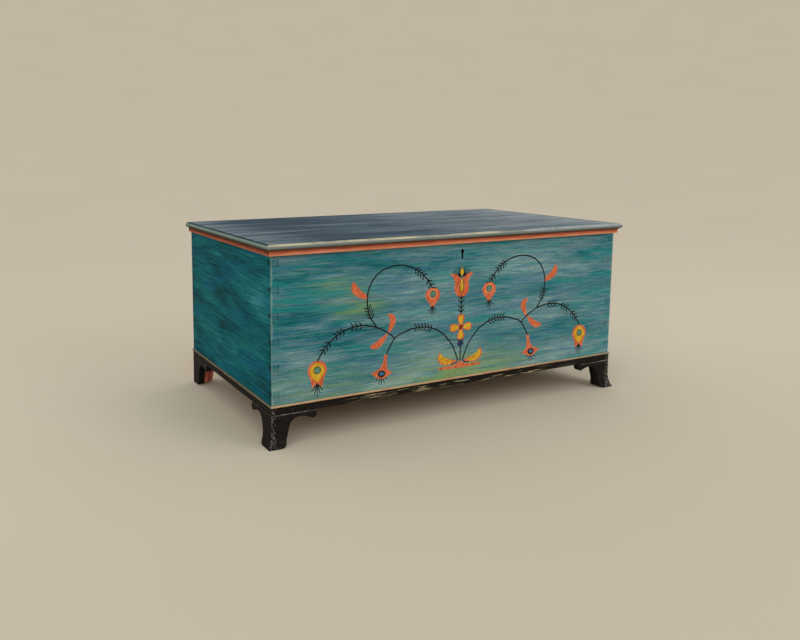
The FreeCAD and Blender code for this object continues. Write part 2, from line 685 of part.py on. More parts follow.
def lid_staple():
    """A plate let into the lid, with an eye that drops through the selvage into the bolt's way."""
    half_x = STAPLE_LENGTH / 2.0
    half_y = STAPLE_WIDTH / 2.0
    plate = block(EYE_PLACE - half_x, EYE_PLACE + half_x, BOLT_Y - half_y, BOLT_Y + half_y,
                  RIM_Z, RIM_Z + STAPLE_PLATE)
    half_hole = EYE_HOLE_HEIGHT / 2.0
    width = EYE_HOLE_WIDTH / 2.0 + EYE_WALL
    x0 = EYE_PLACE - EYE_THICKNESS / 2.0
    x1 = EYE_PLACE + EYE_THICKNESS / 2.0
    eye = block(x0, x1, BOLT_Y - width, BOLT_Y + width, BOLT_Z - half_hole - EYE_WALL, RIM_Z)
    hole = block(x0, x1, BOLT_Y - EYE_HOLE_WIDTH / 2.0, BOLT_Y + EYE_HOLE_WIDTH / 2.0,
                 BOLT_Z - half_hole, BOLT_Z + half_hole)
    return one_solid(plate.fuse(eye).cut(hole))


def strap_nails():
    """Forged nails up through the straps into the lid."""
    places = spread(STRAP_NAIL_INSET, STRAP_LENGTH - STRAP_PENNY, STRAP_NAILS)
    return [rose_nail(Vector(middle_x, BACK_Y - place, RIM_Z - STRAP_THICKNESS), Vector(0.0, 0.0, 1.0),
                      STRAP_THICKNESS + PLATE_NAIL_BITE)
            for middle_x in (-HINGE_X, HINGE_X) for place in places]


def leaf_nails():
    """Forged nails through the leaves into the back."""
    places = spread(LEAF_NAIL_INSET, LEAF_LENGTH - LEAF_PENNY, LEAF_NAILS)
    return [rose_nail(Vector(middle_x, BACK_Y + STRAP_THICKNESS, HINGE_Z - place), Vector(0.0, -1.0, 0.0),
                      STRAP_THICKNESS + PLATE_NAIL_BITE)
            for middle_x in (-HINGE_X, HINGE_X) for place in places]


def lock_nails():
    """Forged nails through the border of the lock plate into the front."""
    x = LOCK_WIDTH / 2.0 - LOCK_BORDER / 2.0
    heights = (RIM_Z - LOCK_NAIL_INSET, RIM_Z - LOCK_HEIGHT + LOCK_NAIL_INSET)
    return [rose_nail(Vector(side * x, FRONT_Y + CASE_BOARD, z), Vector(0.0, -1.0, 0.0),
                      LOCK_PLATE + PLATE_NAIL_BITE)
            for side in (-1.0, 1.0) for z in heights]


def staple_nails():
    """Flush nails through the staple's plate into the lid."""
    reach = STAPLE_LENGTH / 2.0 - STAPLE_NAIL_INSET
    return [flush_brad(Vector(EYE_PLACE + side * reach, BOLT_Y, RIM_Z), Vector(0.0, 0.0, 1.0),
                       STAPLE_PLATE + PLATE_NAIL_BITE)
            for side in (-1.0, 1.0)]


def cove_nails():
    """Brads up through the foot of the cove into the lid."""
    out = COVE_CLEARANCE + COVE_FOOT / 2.0
    z = RIM_Z - COVE_HEIGHT
    places = [Vector(x, FRONT_Y - out, z)
              for x in spread(LEFT_X + NAIL_END_INSET, RIGHT_X - NAIL_END_INSET, FRONT_NAILS)]
    places += [Vector(side * (RIGHT_X + out), y, z)
               for side in (-1.0, 1.0)
               for y in spread(FRONT_Y + NAIL_END_INSET, BACK_Y - NAIL_END_INSET, SIDE_NAILS)]
    return [flush_brad(place, Vector(0.0, 0.0, 1.0), COVE_HEIGHT + COVE_NAIL_BITE) for place in places]


def rail_nails():
    """Brads through the rails into the edges of the bottom boards."""
    z = (FOOT_HEIGHT + CASE_Z) / 2.0
    length = RAIL_THICKNESS + RAIL_NAIL_BITE
    nails = [flush_brad(Vector(x, FRONT_Y - RAIL_PROJECTION, z), Vector(0.0, 1.0, 0.0), length)
             for x in spread(LEFT_X + NAIL_END_INSET, RIGHT_X - NAIL_END_INSET, FRONT_NAILS)]
    nails += [flush_brad(Vector(-side * (RIGHT_X + RAIL_PROJECTION), y, z), Vector(side, 0.0, 0.0), length)
              for side in (-1.0, 1.0)
              for y in spread(FRONT_Y + NAIL_END_INSET, BACK_Y - NAIL_END_INSET, SIDE_NAILS)]
    return nails


def bottom_nails():
    """Brads up through the bottom into the lower edges of the case boards."""
    edge = (BOTTOM_INSET + CASE_BOARD) / 2.0
    length = BOTTOM_THICKNESS + BOTTOM_NAIL_BITE
    step = NAIL_END_INSET / 2.0
    across = spread(LEFT_X + NAIL_END_INSET + step, RIGHT_X - NAIL_END_INSET - step, FRONT_NAILS)
    places = [Vector(x, y, FOOT_HEIGHT) for y in (FRONT_Y + edge, BACK_Y - CASE_BOARD / 2.0) for x in across]
    places += [Vector(side * (RIGHT_X - edge), y, FOOT_HEIGHT)
               for side in (-1.0, 1.0)
               for y in spread(FRONT_Y + NAIL_END_INSET + step, BACK_Y - NAIL_END_INSET - step, SIDE_NAILS)]
    return [flush_brad(place, Vector(0.0, 0.0, 1.0), length) for place in places]


def cut_from(pieces, names, tools):
    """Takes the tools' shape out of the named pieces, so that the two fit face to face."""
    for name in names:
        pieces[name] = one_solid(pieces[name].cut(tools))


pieces = {}
pieces.update(case_boards())
pieces.update(bottom_boards())
pieces.update(till())
pieces.update(lid_boards())
pieces.update(cove_mouldings())
pieces.update(base_mouldings())
pieces.update(bracket_feet())
pieces.update(foot_blocks())
pieces.update(hinges())

plate, eye_slot = lock_plate()
staple = lid_staple()
till_boards = [pieces["till_bottom"], pieces["till_side"]]
cut_from(pieces, ["front_board"], till_boards + [keyhole(), lock_well(), plate])
cut_from(pieces, ["back_board"], till_boards + strap_notches())
cut_from(pieces, ["left_end_board"], till_boards)
cut_from(pieces, ["lid_board_front"], [staple])
pieces["lock_plate"] = one_solid(plate.cut(eye_slot))
pieces["lock_bolt"] = lock_bolt()
pieces["lock_keepers"] = lock_keepers()
pieces["lock_spring"] = lock_spring()
pieces["lock_key_post"] = key_post()
pieces["lid_staple"] = staple

LID_BOARDS = ["lid_board_front", "lid_board_rear"]
CASE_BOARDS = ["front_board", "back_board", "left_end_board", "right_end_board"]
BOTTOM_BOARDS = ["bottom_board_front", "bottom_board_rear"]
nail_groups = {
    "strap_nails": (strap_nails(), ["hinge_strap_left", "hinge_strap_right"] + LID_BOARDS),
    "leaf_nails": (leaf_nails(), ["hinge_leaf_left", "hinge_leaf_right", "back_board"]),
    "lock_nails": (lock_nails(), ["lock_plate", "front_board"]),
    "staple_nails": (staple_nails(), ["lid_staple", "lid_board_front"]),
    "cove_nails": (cove_nails(), ["lid_cove_front", "lid_cove_left", "lid_cove_right"] + LID_BOARDS),
    "rail_nails": (rail_nails(), ["base_rail_front", "base_rail_left", "base_rail_right"] + BOTTOM_BOARDS),
    "bottom_nails": (bottom_nails(), BOTTOM_BOARDS + CASE_BOARDS),
}
for group, (nails, held) in nail_groups.items():
    cut_from(pieces, held, nails)
    pieces[group] = Part.makeCompound(nails)

os.makedirs("parts", exist_ok=True)
for name, shape in pieces.items():
    shape.exportStep(os.path.join("parts", name + ".step"))
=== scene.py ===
import json
import math

import bmesh
import bpy
from mathutils import Matrix, Vector


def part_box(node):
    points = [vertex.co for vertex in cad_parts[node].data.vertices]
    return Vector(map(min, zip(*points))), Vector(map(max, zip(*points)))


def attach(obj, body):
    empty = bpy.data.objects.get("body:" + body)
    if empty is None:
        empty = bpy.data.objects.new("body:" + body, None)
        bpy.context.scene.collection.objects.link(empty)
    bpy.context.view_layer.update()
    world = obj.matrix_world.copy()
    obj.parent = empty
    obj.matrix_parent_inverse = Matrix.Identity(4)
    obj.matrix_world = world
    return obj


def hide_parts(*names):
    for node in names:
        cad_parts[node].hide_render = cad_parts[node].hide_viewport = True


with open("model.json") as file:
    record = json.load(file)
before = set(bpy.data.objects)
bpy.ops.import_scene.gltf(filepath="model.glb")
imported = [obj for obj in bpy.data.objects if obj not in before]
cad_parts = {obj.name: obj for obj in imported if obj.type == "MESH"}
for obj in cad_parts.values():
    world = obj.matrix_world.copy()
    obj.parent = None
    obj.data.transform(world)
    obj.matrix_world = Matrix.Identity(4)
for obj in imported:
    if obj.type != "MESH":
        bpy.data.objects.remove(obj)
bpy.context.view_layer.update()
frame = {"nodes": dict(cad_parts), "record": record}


# The case: four wide pine boards, dovetailed at the corners, the pins of the ends through front and back.
# Outside they carry a thin blue-green paint, brushed on along the boards and made pale at the corners,
# partly worn by rubbing and partly a painted highlight.
# Inside and behind, the wood is bare.

ALONG_X = (0.0, 0.0, 0.0)
ALONG_Y = (0.0, 0.0, 90.0)
case_low = Vector(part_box("front_board")[0])
case_high = Vector(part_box("back_board")[1])


def shade(red, green, blue):
    """A colour as the eye reads it, from 0 to 255, made linear for a shader."""
    levels = [level / 255.0 for level in (red, green, blue)]
    return tuple(x / 12.92 if x <= 0.04045 else ((x + 0.055) / 1.055) ** 2.4 for x in levels) + (1.0,)


def place_node(kind, inputs, settings, tree=None):
    """Adds a node to a tree, or else to the tree that its links come from."""
    links = [socket for socket, value in inputs.items() if isinstance(value, bpy.types.NodeSocket)]
    tree = tree or inputs[links[0]].id_data
    made = tree.nodes.new(kind)
    for name, value in settings.items():
        setattr(made, name, value)
    for socket, value in inputs.items():
        if socket in links:
            tree.links.new(value, made.inputs[socket])
        else:
            made.inputs[socket].default_value = value
    return made


def add(kind, inputs, **settings):
    """Adds a shader node."""
    return place_node("ShaderNode" + kind, inputs, settings)


def placed(group, **inputs):
    """Places a node group and gives what it puts out."""
    return add("Group", inputs, node_tree=group).outputs


def sums(operation, first, second=0.0):
    """One sum on one or two values."""
    return add("Math", {0: first, 1: second}, operation=operation).outputs[0]


def times(first, second):
    """One value times another."""
    return sums("MULTIPLY", first, second)


def less(first, second):
    """One value less another."""
    return sums("SUBTRACT", first, second)


def total(*values):
    """Several values added up."""
    added = values[0]
    for value in values[1:]:
        added = sums("ADD", added, value)
    return added


def vectors(operation, first, second):
    """One sum on two vectors."""
    return add("VectorMath", {0: first, 1: second}, operation=operation).outputs[0]


def length(vector):
    """How long a vector is."""
    return add("VectorMath", {0: vector}, operation="LENGTH").outputs["Value"]


def parts(place):
    """A place's own X, Y and Z."""
    return add("SeparateXYZ", {0: place}).outputs


def noise(place, scale, detail=2.0, roughness=0.5):
    """Cloudy noise from 0 to 1 with this many clouds to the metre."""
    inputs = {"Vector": place, "Scale": scale, "Detail": detail, "Roughness": roughness}
    return add("TexNoise", inputs).outputs[0]


def graded(value, low, high, to_low=0.0, to_high=1.0):
    """The value carried smoothly from one range to another and held there."""
    inputs = {"Value": value, 1: low, 2: high, 3: to_low, 4: to_high}
    return add("MapRange", inputs, interpolation_type="SMOOTHSTEP").outputs[0]


def mixed(mask, under, over, way="MIX"):
    """One colour, linked or plain, laid over another where the mask is high."""
    under, over = (shade(*paint) if isinstance(paint, tuple) else paint for paint in (under, over))
    inputs = {0: mask, 6: under, 7: over}
    return add("Mix", inputs, data_type="RGBA", blend_type=way).outputs[2]


def ramp(value, stops):
    """Colours read off along a value, as (place, colour) stops in order."""
    made = add("ValToRGB", {0: value})
    band = made.color_ramp
    while len(band.elements) < len(stops):
        band.elements.new(0.5)
    for element, (place, colour) in zip(band.elements, stops):
        element.position = place
        element.color = shade(*colour)
    return made.outputs[0]


def turned(place, turn, shift=(0.0, 0.0, 0.0)):
    """The place turned by degrees and shifted, to lie a pattern along a board."""
    angles = tuple(math.radians(angle) for angle in turn)
    return add("Mapping", {"Vector": place, "Rotation": angles, "Location": shift}).outputs[0]


def new_material(name):
    """An empty material, and the place on the chest that its patterns read."""
    material = bpy.data.materials.new(name)
    material.use_nodes = True
    material.node_tree.nodes.clear()
    return material, material.node_tree.nodes.new("ShaderNodeTexCoord").outputs["Object"]


def surface(material, colour, roughness, height, depth, metallic=0.0, gloss=0.5):
    """Ends a material: its colour, its gloss and a relief of this depth."""
    relief = add("Bump", {"Height": height, "Distance": depth})
    skin = add("BsdfPrincipled", {
        "Base Color": colour, "Roughness": roughness, "Metallic": metallic, "Specular IOR Level": gloss,
        "Normal": relief.outputs[0]})
    add("OutputMaterial", {"Surface": skin.outputs[0]})
    return material


def node_group(kind, name, inputs, outputs):
    """A new group of nodes with these sockets, what it is given and what it puts out."""
    tree = bpy.data.node_groups.new(name, kind + "NodeTree")
    for way, sockets in (("INPUT", inputs), ("OUTPUT", outputs)):
        for socket, holds in sockets.items():
            tree.interface.new_socket(socket, in_out=way, socket_type="NodeSocket" + holds)
    return tree, tree.nodes.new("NodeGroupInput").outputs, tree.nodes.new("NodeGroupOutput").inputs


RING_SWAY = 0.05
SWAY_CLOUDS = (1.6, 7.0, 7.0)
FIBRES = (7.0, 420.0, 420.0)


def make_pine_grain():
    """Growth rings about a pith that runs along X, and the fine fibre between them."""
    tree, given, result = node_group(
        "Shader", "pine_grain",
        {"Place": "Vector", "Pith": "Vector", "Ring": "Float"},
        {"Rings": "Float", "Fibre": "Float"})
    from_pith = vectors("SUBTRACT", given["Place"], given["Pith"])
    radius = length(vectors("MULTIPLY", from_pith, (0.0, 1.0, 1.0)))
    slow = vectors("MULTIPLY", from_pith, SWAY_CLOUDS)
    sway = times(noise(slow, 1.0, 3.0), RING_SWAY)
    ring_part = sums("FRACT", sums("DIVIDE", total(radius, sway), given["Ring"]))
    late = graded(ring_part, 0.35, 0.93)
    early = graded(ring_part, 0.93, 1.0, 1.0, 0.0)
    fibre = vectors("MULTIPLY", from_pith, FIBRES)
    tree.links.new(times(late, early), result["Rings"])
    tree.links.new(noise(fibre, 1.0, 3.0, 0.6), result["Fibre"])
    return tree


pine_grain = make_pine_grain()
PINE_RING = 0.011
GRAIN_RELIEF = 0.0005
FIBRE_TONES = [(0.0, (92, 66, 44)), (1.0, (226, 206, 176))]


def bare_pine(name, turn, pith, pale, dark):
    """Planed pine gone brown with age: rings, fibre and a few handled patches."""
    material, place = new_material(name)
    along = turned(place, turn)
    grain = placed(pine_grain, Place=along, Pith=pith, Ring=PINE_RING)
    aged = graded(noise(along, 3.0, 3.0), 0.3, 0.75, 0.0, 0.45)
    wood = mixed(aged, pale, dark)
    wood = mixed(times(grain["Rings"], 0.55), wood, dark)
    fibre = graded(grain["Fibre"], 0.25, 0.75)
    wood = mixed(0.35, wood, ramp(fibre, FIBRE_TONES), "OVERLAY")
    rough = graded(grain["Fibre"], 0.2, 0.8, 0.62, 0.82)
    height = total(grain["Rings"], times(fibre, 0.6))
    return surface(material, wood, rough, height, GRAIN_RELIEF)


pine_long = bare_pine("bare_pine_long_boards", ALONG_X, (0.0, 0.42, 0.21), (190, 146, 96), (126, 84, 50))
pine_deep = bare_pine("bare_pine_end_boards", ALONG_Y, (0.0, 0.0, 0.16), (184, 140, 92), (120, 80, 48))

DRIFT_CLOUDS = 4.0
BRISTLES = (1.7, 4.5, 4.5)
RUB_AND_HIGHLIGHT_CLOUDS = 26.0
CRACK_HALF = 0.0016


def make_brush_strokes():
    """Strokes of a stiff brush along X: broad drags of paint, and the bristle lines within them."""
    tree, given, result = node_group(
        "Shader", "brush_strokes",
        {"Place": "Vector", "Length": "Float", "Width": "Float", "Wander": "Float"},
        {"Stroke": "Float", "Bristle": "Float"})
    drift = times(less(noise(given["Place"], DRIFT_CLOUDS), 0.5), given["Wander"])
    wandering = vectors("ADD", given["Place"], add("CombineXYZ", {1: drift, 2: drift}).outputs[0])
    size = add("CombineXYZ", {0: given["Length"], 1: given["Width"], 2: given["Width"]}).outputs[0]
    along = vectors("DIVIDE", wandering, size)
    finer = vectors("MULTIPLY", along, BRISTLES)
    tree.links.new(noise(along, 1.0, 3.0, 0.6), result["Stroke"])
    tree.links.new(noise(finer, 1.0, 4.0, 0.65), result["Bristle"])
    return tree


def make_edge_rub():
    """Where hands and brooms wear a square form, and where painted highlights lie along its edges: close to
    any edge between two faces of its box.
    """
    tree, given, result = node_group(
        "Shader", "edge_rub_and_highlight",
        {"Place": "Vector", "Low": "Vector", "High": "Vector", "Reach": "Float"},
        {"RubAndHighlight": "Float"})
    above = vectors("SUBTRACT", given["Place"], given["Low"])
    below = vectors("SUBTRACT", given["High"], given["Place"])
    x, y, z = parts(vectors("MINIMUM", above, below))
    larger = sums("MINIMUM", sums("MAXIMUM", x, y), z)
    from_edge = sums("MAXIMUM", sums("MINIMUM", x, y), larger)
    uneven = graded(noise(given["Place"], RUB_AND_HIGHLIGHT_CLOUDS, 4.0, 0.65), 0.3, 0.7, 0.25, 1.6)
    share = sums("DIVIDE", from_edge, times(given["Reach"], uneven))
    tree.links.new(graded(share, 0.25, 1.0, 1.0, 0.0), result["RubAndHighlight"])
    return tree


def make_joint_marks():
    """Dovetails seen through paint: the soaked end grain of the pins, and the cracks along their sides."""
    tree, given, result = node_group(
        "Shader", "joint_marks",
        dict.fromkeys(("Across", "Up", "Pitch", "Board", "Tip", "Root"), "Float"),
        dict.fromkeys(("Pin", "Crack"), "Float"))
    share = sums("DIVIDE", given["Across"], given["Board"])
    spread = times(share, less(given["Root"], given["Tip"]))
    pitch_part = sums("FRACT", sums("DIVIDE", given["Up"], given["Pitch"]))
    from_middle = times(sums("ABSOLUTE", less(pitch_part, 0.5)), given["Pitch"])
    from_side = less(from_middle, total(given["Tip"], spread))
    joined = graded(share, 0.96, 1.04, 1.0, 0.0)
    pin = graded(from_side, -CRACK_HALF, CRACK_HALF, 1.0, 0.0)
    crack = graded(sums("ABSOLUTE", from_side), 0.3 * CRACK_HALF, CRACK_HALF, 0.5, 0.0)
    from_shoulder = sums("ABSOLUTE", less(share, 0.92))
    shoulder = graded(from_shoulder, 0.04, 0.12, 1.0, 0.0)
    crack = sums("MAXIMUM", crack, times(shoulder, pin))
    tree.links.new(times(pin, joined), result["Pin"])
    tree.links.new(times(crack, joined), result["Crack"])
    return tree


brush_strokes = make_brush_strokes()
edge_rub_and_highlight = make_edge_rub()
joint_marks = make_joint_marks()
PIN_COUNT = 6
PIN_TIP_HALF = 0.0055
PIN_ROOT_HALF = 0.0095
PIN_PITCH = (case_high.z - case_low.z) / PIN_COUNT
CASE_BOARD = 0.022
RUB_AND_HIGHLIGHT_REACH = 0.0045
TOOTH_CLOUDS = 330.0
CRACK_CLOUDS = 90.0
MILK_PAINT_GLOSS = 0.05
PAINT_RELIEF = 0.0007


def brushed(place, long, wide, wander):
    """How thick paint lies in strokes of this size along X, and its bristle lines."""
    strokes = placed(brush_strokes, Place=place, Length=long, Width=wide, Wander=wander)
    return strokes["Stroke"], strokes["Bristle"]


def jointed(place, paint, axis, root_half, soaked, cracked):
    """Darkens paint over the dovetails; the axis is the one that runs in from the corner."""
    at = parts(place)
    inward = sums("MINIMUM", less(at[axis], case_low[axis]), less(case_high[axis], at[axis]))
    marks = placed(joint_marks, Across=inward, Up=less(at[2], case_low.z), Pitch=PIN_PITCH,
                   Board=CASE_BOARD, Tip=PIN_TIP_HALF, Root=root_half)
    paint = mixed(times(marks["Pin"], soaked), paint, (8, 36, 42))
    broken = graded(noise(place, CRACK_CLOUDS, 2.0), 0.35, 0.6, 0.2 * cracked, cracked)
    return mixed(times(marks["Crack"], broken), paint, (10, 28, 32))


def rubbed_and_highlit(place, paint, pale, most):
    """Case paint made pale along the corners of the case: partly worn by rubbing, partly a painted
    highlight.
    """
    rub_and_highlight = placed(edge_rub_and_highlight, Place=place, Low=case_low, High=case_high, Reach=RUB_AND_HIGHLIGHT_REACH)["RubAndHighlight"]
    return mixed(times(rub_and_highlight, most), paint, pale)


def toothed(place, paint, depth):
    """Fine flecks where thin paint lies over the tooth of the wood."""
    flecks = graded(noise(place, TOOTH_CLOUDS, 2.0, 0.7), 0.3, 0.7, 1.0 - depth, 1.0 + depth)
    return mixed(1.0, paint, flecks, "MULTIPLY")


def swung(stroke, most):
    """How much thicker or thinner the paint lies along a stroke, at most."""
    return graded(stroke, 0.25, 0.75, -most, most)


def lined(paint, bristle, dark, light):
    """Paint darkened and lightened along the lines of the bristles."""
    return mixed(1.0, paint, graded(bristle, 0.25, 0.75, dark, light), "MULTIPLY")


def dried(material, paint, bristle, smooth, rough, relief, gloss=MILK_PAINT_GLOSS):
    """Ends a brushed paint, with the bristle lines standing in its dull skin."""
    skin = graded(bristle, 0.2, 0.8, smooth, rough)
    return surface(material, paint, skin, bristle, relief, gloss=gloss)


def streaks(place, shift, along, across):
    """Long clouds that lie along X, for colours that come and go with the brush."""
    stretched = vectors("MULTIPLY", place, (1.0 / along, 1.0 / across, 1.0 / across))
    return noise(turned(stretched, ALONG_X, shift), 1.0, 5.0, 0.6)


def dragged(place, paint, drags):
    """Other colours dragged along a board, each as (shift, size, how it shows, colour)."""
    for shift, (along, across), (low, high, most), colour in drags:
        drag = graded(streaks(place, shift, along, across), low, high, 0.0, most)
        paint = mixed(drag, paint, colour)
    return paint


def near_spot(place, spot, reach, most):
    """A cloud about a spot on the front, as wide and high as its reach."""
    away = vectors("SUBTRACT", place, (spot[0], case_low.y, spot[1]))
    away = vectors("DIVIDE", away, (reach[0], 1.0, reach[1]))
    return graded(length(away), 0.1, 1.0, most, 0.0)


UNDER_THE_LID = 0.47
FRONT_TONES = [
    (0.26, (8, 88, 96)), (0.41, (42, 112, 118)), (0.54, (84, 127, 135)), (0.68, (112, 148, 155)),
    (0.86, (142, 170, 168))]
FRONT_DRAGS = (
    ((3.1, 0.0, 1.7), (0.17, 0.011), (0.48, 0.64, 0.6), (62, 110, 142)),
    ((8.3, 0.0, 5.2), (0.24, 0.026), (0.49, 0.64, 0.6), (24, 132, 130)),
    ((1.3, 0.0, 9.2), (0.20, 0.010), (0.52, 0.68, 0.5), (116, 126, 136)),
    ((6.6, 0.0, 2.4), (0.14, 0.005), (0.55, 0.68, 0.28), (146, 176, 170)),
    ((9.7, 0.0, 7.5), (0.14, 0.004), (0.55, 0.68, 0.4), (36, 82, 92)),
)
THIN_SPOTS = (
    ((-0.53, 0.25), (0.17, 0.12), 0.17),
    ((0.22, 0.42), (0.20, 0.10), 0.13),
)
YELLOWED_SPOTS = (
    ((-0.36, 0.365), (0.15, 0.05), 0.75),
    ((-0.40, 0.425), (0.15, 0.04), 0.4),
    ((0.00, 0.115), (0.42, 0.13), 0.85),
    ((-0.48, 0.125), (0.30, 0.12), 0.45),
)


def front_paint():
    """Blue-green strokes in many thin colours, gone yellow-green at the left and low down; painted shade at
    the top.
    """
    material, place = new_material("blue_green_front")
    x, _, z = parts(place)
    stroke, bristle = brushed(place, long=0.065, wide=0.0042, wander=0.004)
    thin = total(
        streaks(place, (5.0, 0.0, 3.0), 0.26, 0.045),
        graded(x, case_low.x, -0.05, -0.14, 0.08),
        graded(x, 0.05, case_high.x, 0.0, -0.09),
        graded(z, case_low.z, case_low.z + 0.14, 0.2, 0.0),
        *[near_spot(place, *spot) for spot in THIN_SPOTS],
        swung(stroke, 0.12))
    paint = dragged(place, ramp(thin, FRONT_TONES), FRONT_DRAGS)
    patchy = graded(streaks(place, (7.2, 0.0, 6.1), 0.12, 0.008), 0.38, 0.6, 0.12, 1.0)
    for spot in YELLOWED_SPOTS:
        yellowed = times(near_spot(place, *spot), patchy)
        paint = mixed(yellowed, paint, (124, 152, 88))
    # Painted shade: the front darkens towards its top, where the lid's overhang would shade it.
    painted_shade_under_lid = graded(z, UNDER_THE_LID, case_high.z, 0.0, 0.4)
    paint = mixed(painted_shade_under_lid, paint, (36, 84, 94))
    paint = toothed(place, lined(paint, bristle, 0.84, 1.2), 0.13)
    # Pale corners: partly worn paint, partly a painted highlight along the edges.
    paint = rubbed_and_highlit(place, paint, (148, 172, 160), 0.45)
    paint = jointed(place, paint, 0, PIN_ROOT_HALF, soaked=0.12, cracked=0.55)
    return dried(material, paint, bristle, 0.6, 0.82, PAINT_RELIEF)


# The end tones are darker than the front's: a painted shade for the side turned from the light.
END_TONES = [(0.26, (4, 58, 66)), (0.42, (6, 86, 96)), (0.56, (16, 104, 114)), (0.76, (56, 134, 142))]
END_DRAGS = (
    ((1.4, 6.0, 2.2), (0.22, 0.04), (0.47, 0.66, 0.42), (8, 88, 124)),
    ((5.4, 2.0, 7.2), (0.20, 0.03), (0.52, 0.68, 0.5), (14, 106, 96)),
)


def end_paint():
    """The same paint on the ends, darker as a painted shade, with blue and green drags."""
    material, place = new_material("blue_green_end")
    along = turned(place, ALONG_Y)
    stroke, bristle = brushed(along, long=0.11, wide=0.0042, wander=0.005)
    paler_up = graded(parts(place)[2], case_low.z, case_high.z, -0.08, 0.04)
    thin = total(streaks(along, (2.0, 1.0, 4.0), 0.3, 0.08), paler_up, swung(stroke, 0.16))
    paint = dragged(along, ramp(thin, END_TONES), END_DRAGS)
    paint = toothed(place, lined(paint, bristle, 0.76, 1.26), 0.18)
    # Pale corners: partly worn paint, partly a painted highlight along the edges.
    paint = rubbed_and_highlit(place, paint, (120, 158, 152), 0.4)
    paint = jointed(place, paint, 1, PIN_TIP_HALF, soaked=0.7, cracked=0.8)
    return dried(material, paint, bristle, 0.6, 0.82, PAINT_RELIEF)


WELD = 0.00001
SLIVER = 0.000002
SHARP = math.radians(35.0)
FLAT = math.radians(0.5)
SEAM_SHARE = 0.22


def stood(name, data):
    """A new object in the scene that holds this data."""
    made = bpy.data.objects.new(name, data)
    bpy.context.scene.collection.objects.link(made)
    return made


def baked(holder):
    """The plain mesh that an object's curve or modifiers make."""
    return bpy.data.meshes.new_from_object(holder.evaluated_get(bpy.context.evaluated_depsgraph_get()))


def worn_copy(node, corner_round, low, high):
    """The node's form with its edges eased, fully along its box and finely at its seams, without slivers."""
    shape = bmesh.new()
    shape.from_mesh(frame["nodes"][node].data)
    bmesh.ops.remove_doubles(shape, verts=shape.verts, dist=WELD)
    bmesh.ops.dissolve_limit(shape, angle_limit=FLAT, verts=shape.verts, edges=shape.edges)
    ease = shape.edges.layers.float.new("bevel_weight_edge")
    for edge in shape.edges:
        if len(edge.link_faces) != 2 or edge.calc_face_angle(0.0) < SHARP:
            continue
        middle = (edge.verts[0].co + edge.verts[1].co) / 2.0
        outer = sum(min(middle[i] - low[i], high[i] - middle[i]) < WELD for i in range(3))
        edge[ease] = 1.0 if outer >= 2 else SEAM_SHARE
    mesh = bpy.data.meshes.new(node + "_worn")
    shape.to_mesh(mesh)
    shape.free()
    if "custom_normal" in mesh.attributes:
        mesh.attributes.remove(mesh.attributes["custom_normal"])
    mesh.shade_smooth()
    piece = stood(node + "_worn", mesh)
    easing = piece.modifiers.new("eased edges", "BEVEL")
    easing.width = corner_round
    easing.segments = 2
    easing.limit_method = "WEIGHT"
    easing.harden_normals = True
    piece.data = baked(piece)
    piece.modifiers.clear()
    bpy.data.meshes.remove(mesh)
    shape = bmesh.new()
    shape.from_mesh(piece.data)
    bmesh.ops.dissolve_degenerate(shape, dist=SLIVER, edges=shape.edges)
    shape.to_mesh(piece.data)
    shape.free()
    return piece


def coat(piece, materials, choose=None):
    """Gives each face the material that choose() numbers for its middle and the way it faces."""
    piece.data.materials.clear()
    for material in materials:
        piece.data.materials.append(material)
    for face in piece.data.polygons:
        face.material_index = choose(face.center, face.normal) if choose else 0


def dress(node, corner_round, materials, body, choose=None, box=None):
    """Puts an eased and finished copy of a node in its place, on the body that carries it."""
    piece = worn_copy(node, corner_round, *(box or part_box(node)))
    coat(piece, materials, choose)
    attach(piece, body)
    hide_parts(node)


CORNER_ROUND = 0.0016
PAINT_SKIN = 0.0018
KEYHOLE_HALF = 0.0065
KEYHOLE_LOW = 0.469
KEYHOLE_HIGH = 0.500
FACES_OUT = 0.3
FACES_ASIDE = 0.5
SHOWS_FRONT, SHOWS_END, SHOWS_WOOD, SHOWS_KEYHOLE = range(4)


def case_face(middle, facing):
    """What shows on a face of the case: front paint, end paint, bare wood, or the keyhole's painted shade.
    """
    in_keyhole = abs(middle.x) < KEYHOLE_HALF and KEYHOLE_LOW < middle.z < KEYHOLE_HIGH
    if in_keyhole and abs(facing.y) < FACES_ASIDE:
        return SHOWS_KEYHOLE
    if middle.y < case_low.y + PAINT_SKIN and facing.y < -FACES_OUT:
        return SHOWS_FRONT
    if abs(facing.x) > FACES_OUT and min(middle.x - case_low.x, case_high.x - middle.x) < PAINT_SKIN:
        return SHOWS_END
    return SHOWS_WOOD


blue_green_front = front_paint()
blue_green_end = end_paint()
# Inside the keyhole the wood is near-black: painted shade down the hole, with a little real blackening from
# the key.
keyhole_painted_shade = bare_pine("keyhole_painted_shade_pine", ALONG_Y, (0.0, 0.0, 0.4), (26, 20, 16), (12, 9, 8))
for board in ("front_board", "back_board", "left_end_board", "right_end_board"):
    wood = pine_deep if board.endswith("end_board") else pine_long
    finishes = [blue_green_front, blue_green_end, wood, keyhole_painted_shade]
    dress(board, CORNER_ROUND, finishes, "case", case_face, (case_low, case_high))


# The bottom: two wide pine boards, tongued together and nailed up under the case.
# They were never painted and have gone a dull brown underneath.

BOARD_ROUND = 0.001
pine_bottom = bare_pine("bare_pine_bottom", ALONG_X, (0.0, 0.05, -0.1), (168, 128, 86), (108, 74, 46))
for board in ("bottom_board_front", "bottom_board_rear"):
    dress(board, BOARD_ROUND, [pine_bottom], "case")


# The till: an open box for small things across the left end, a shelf and an upright side of thin pine.
# Both slide into grooves in the front, the back and the end.

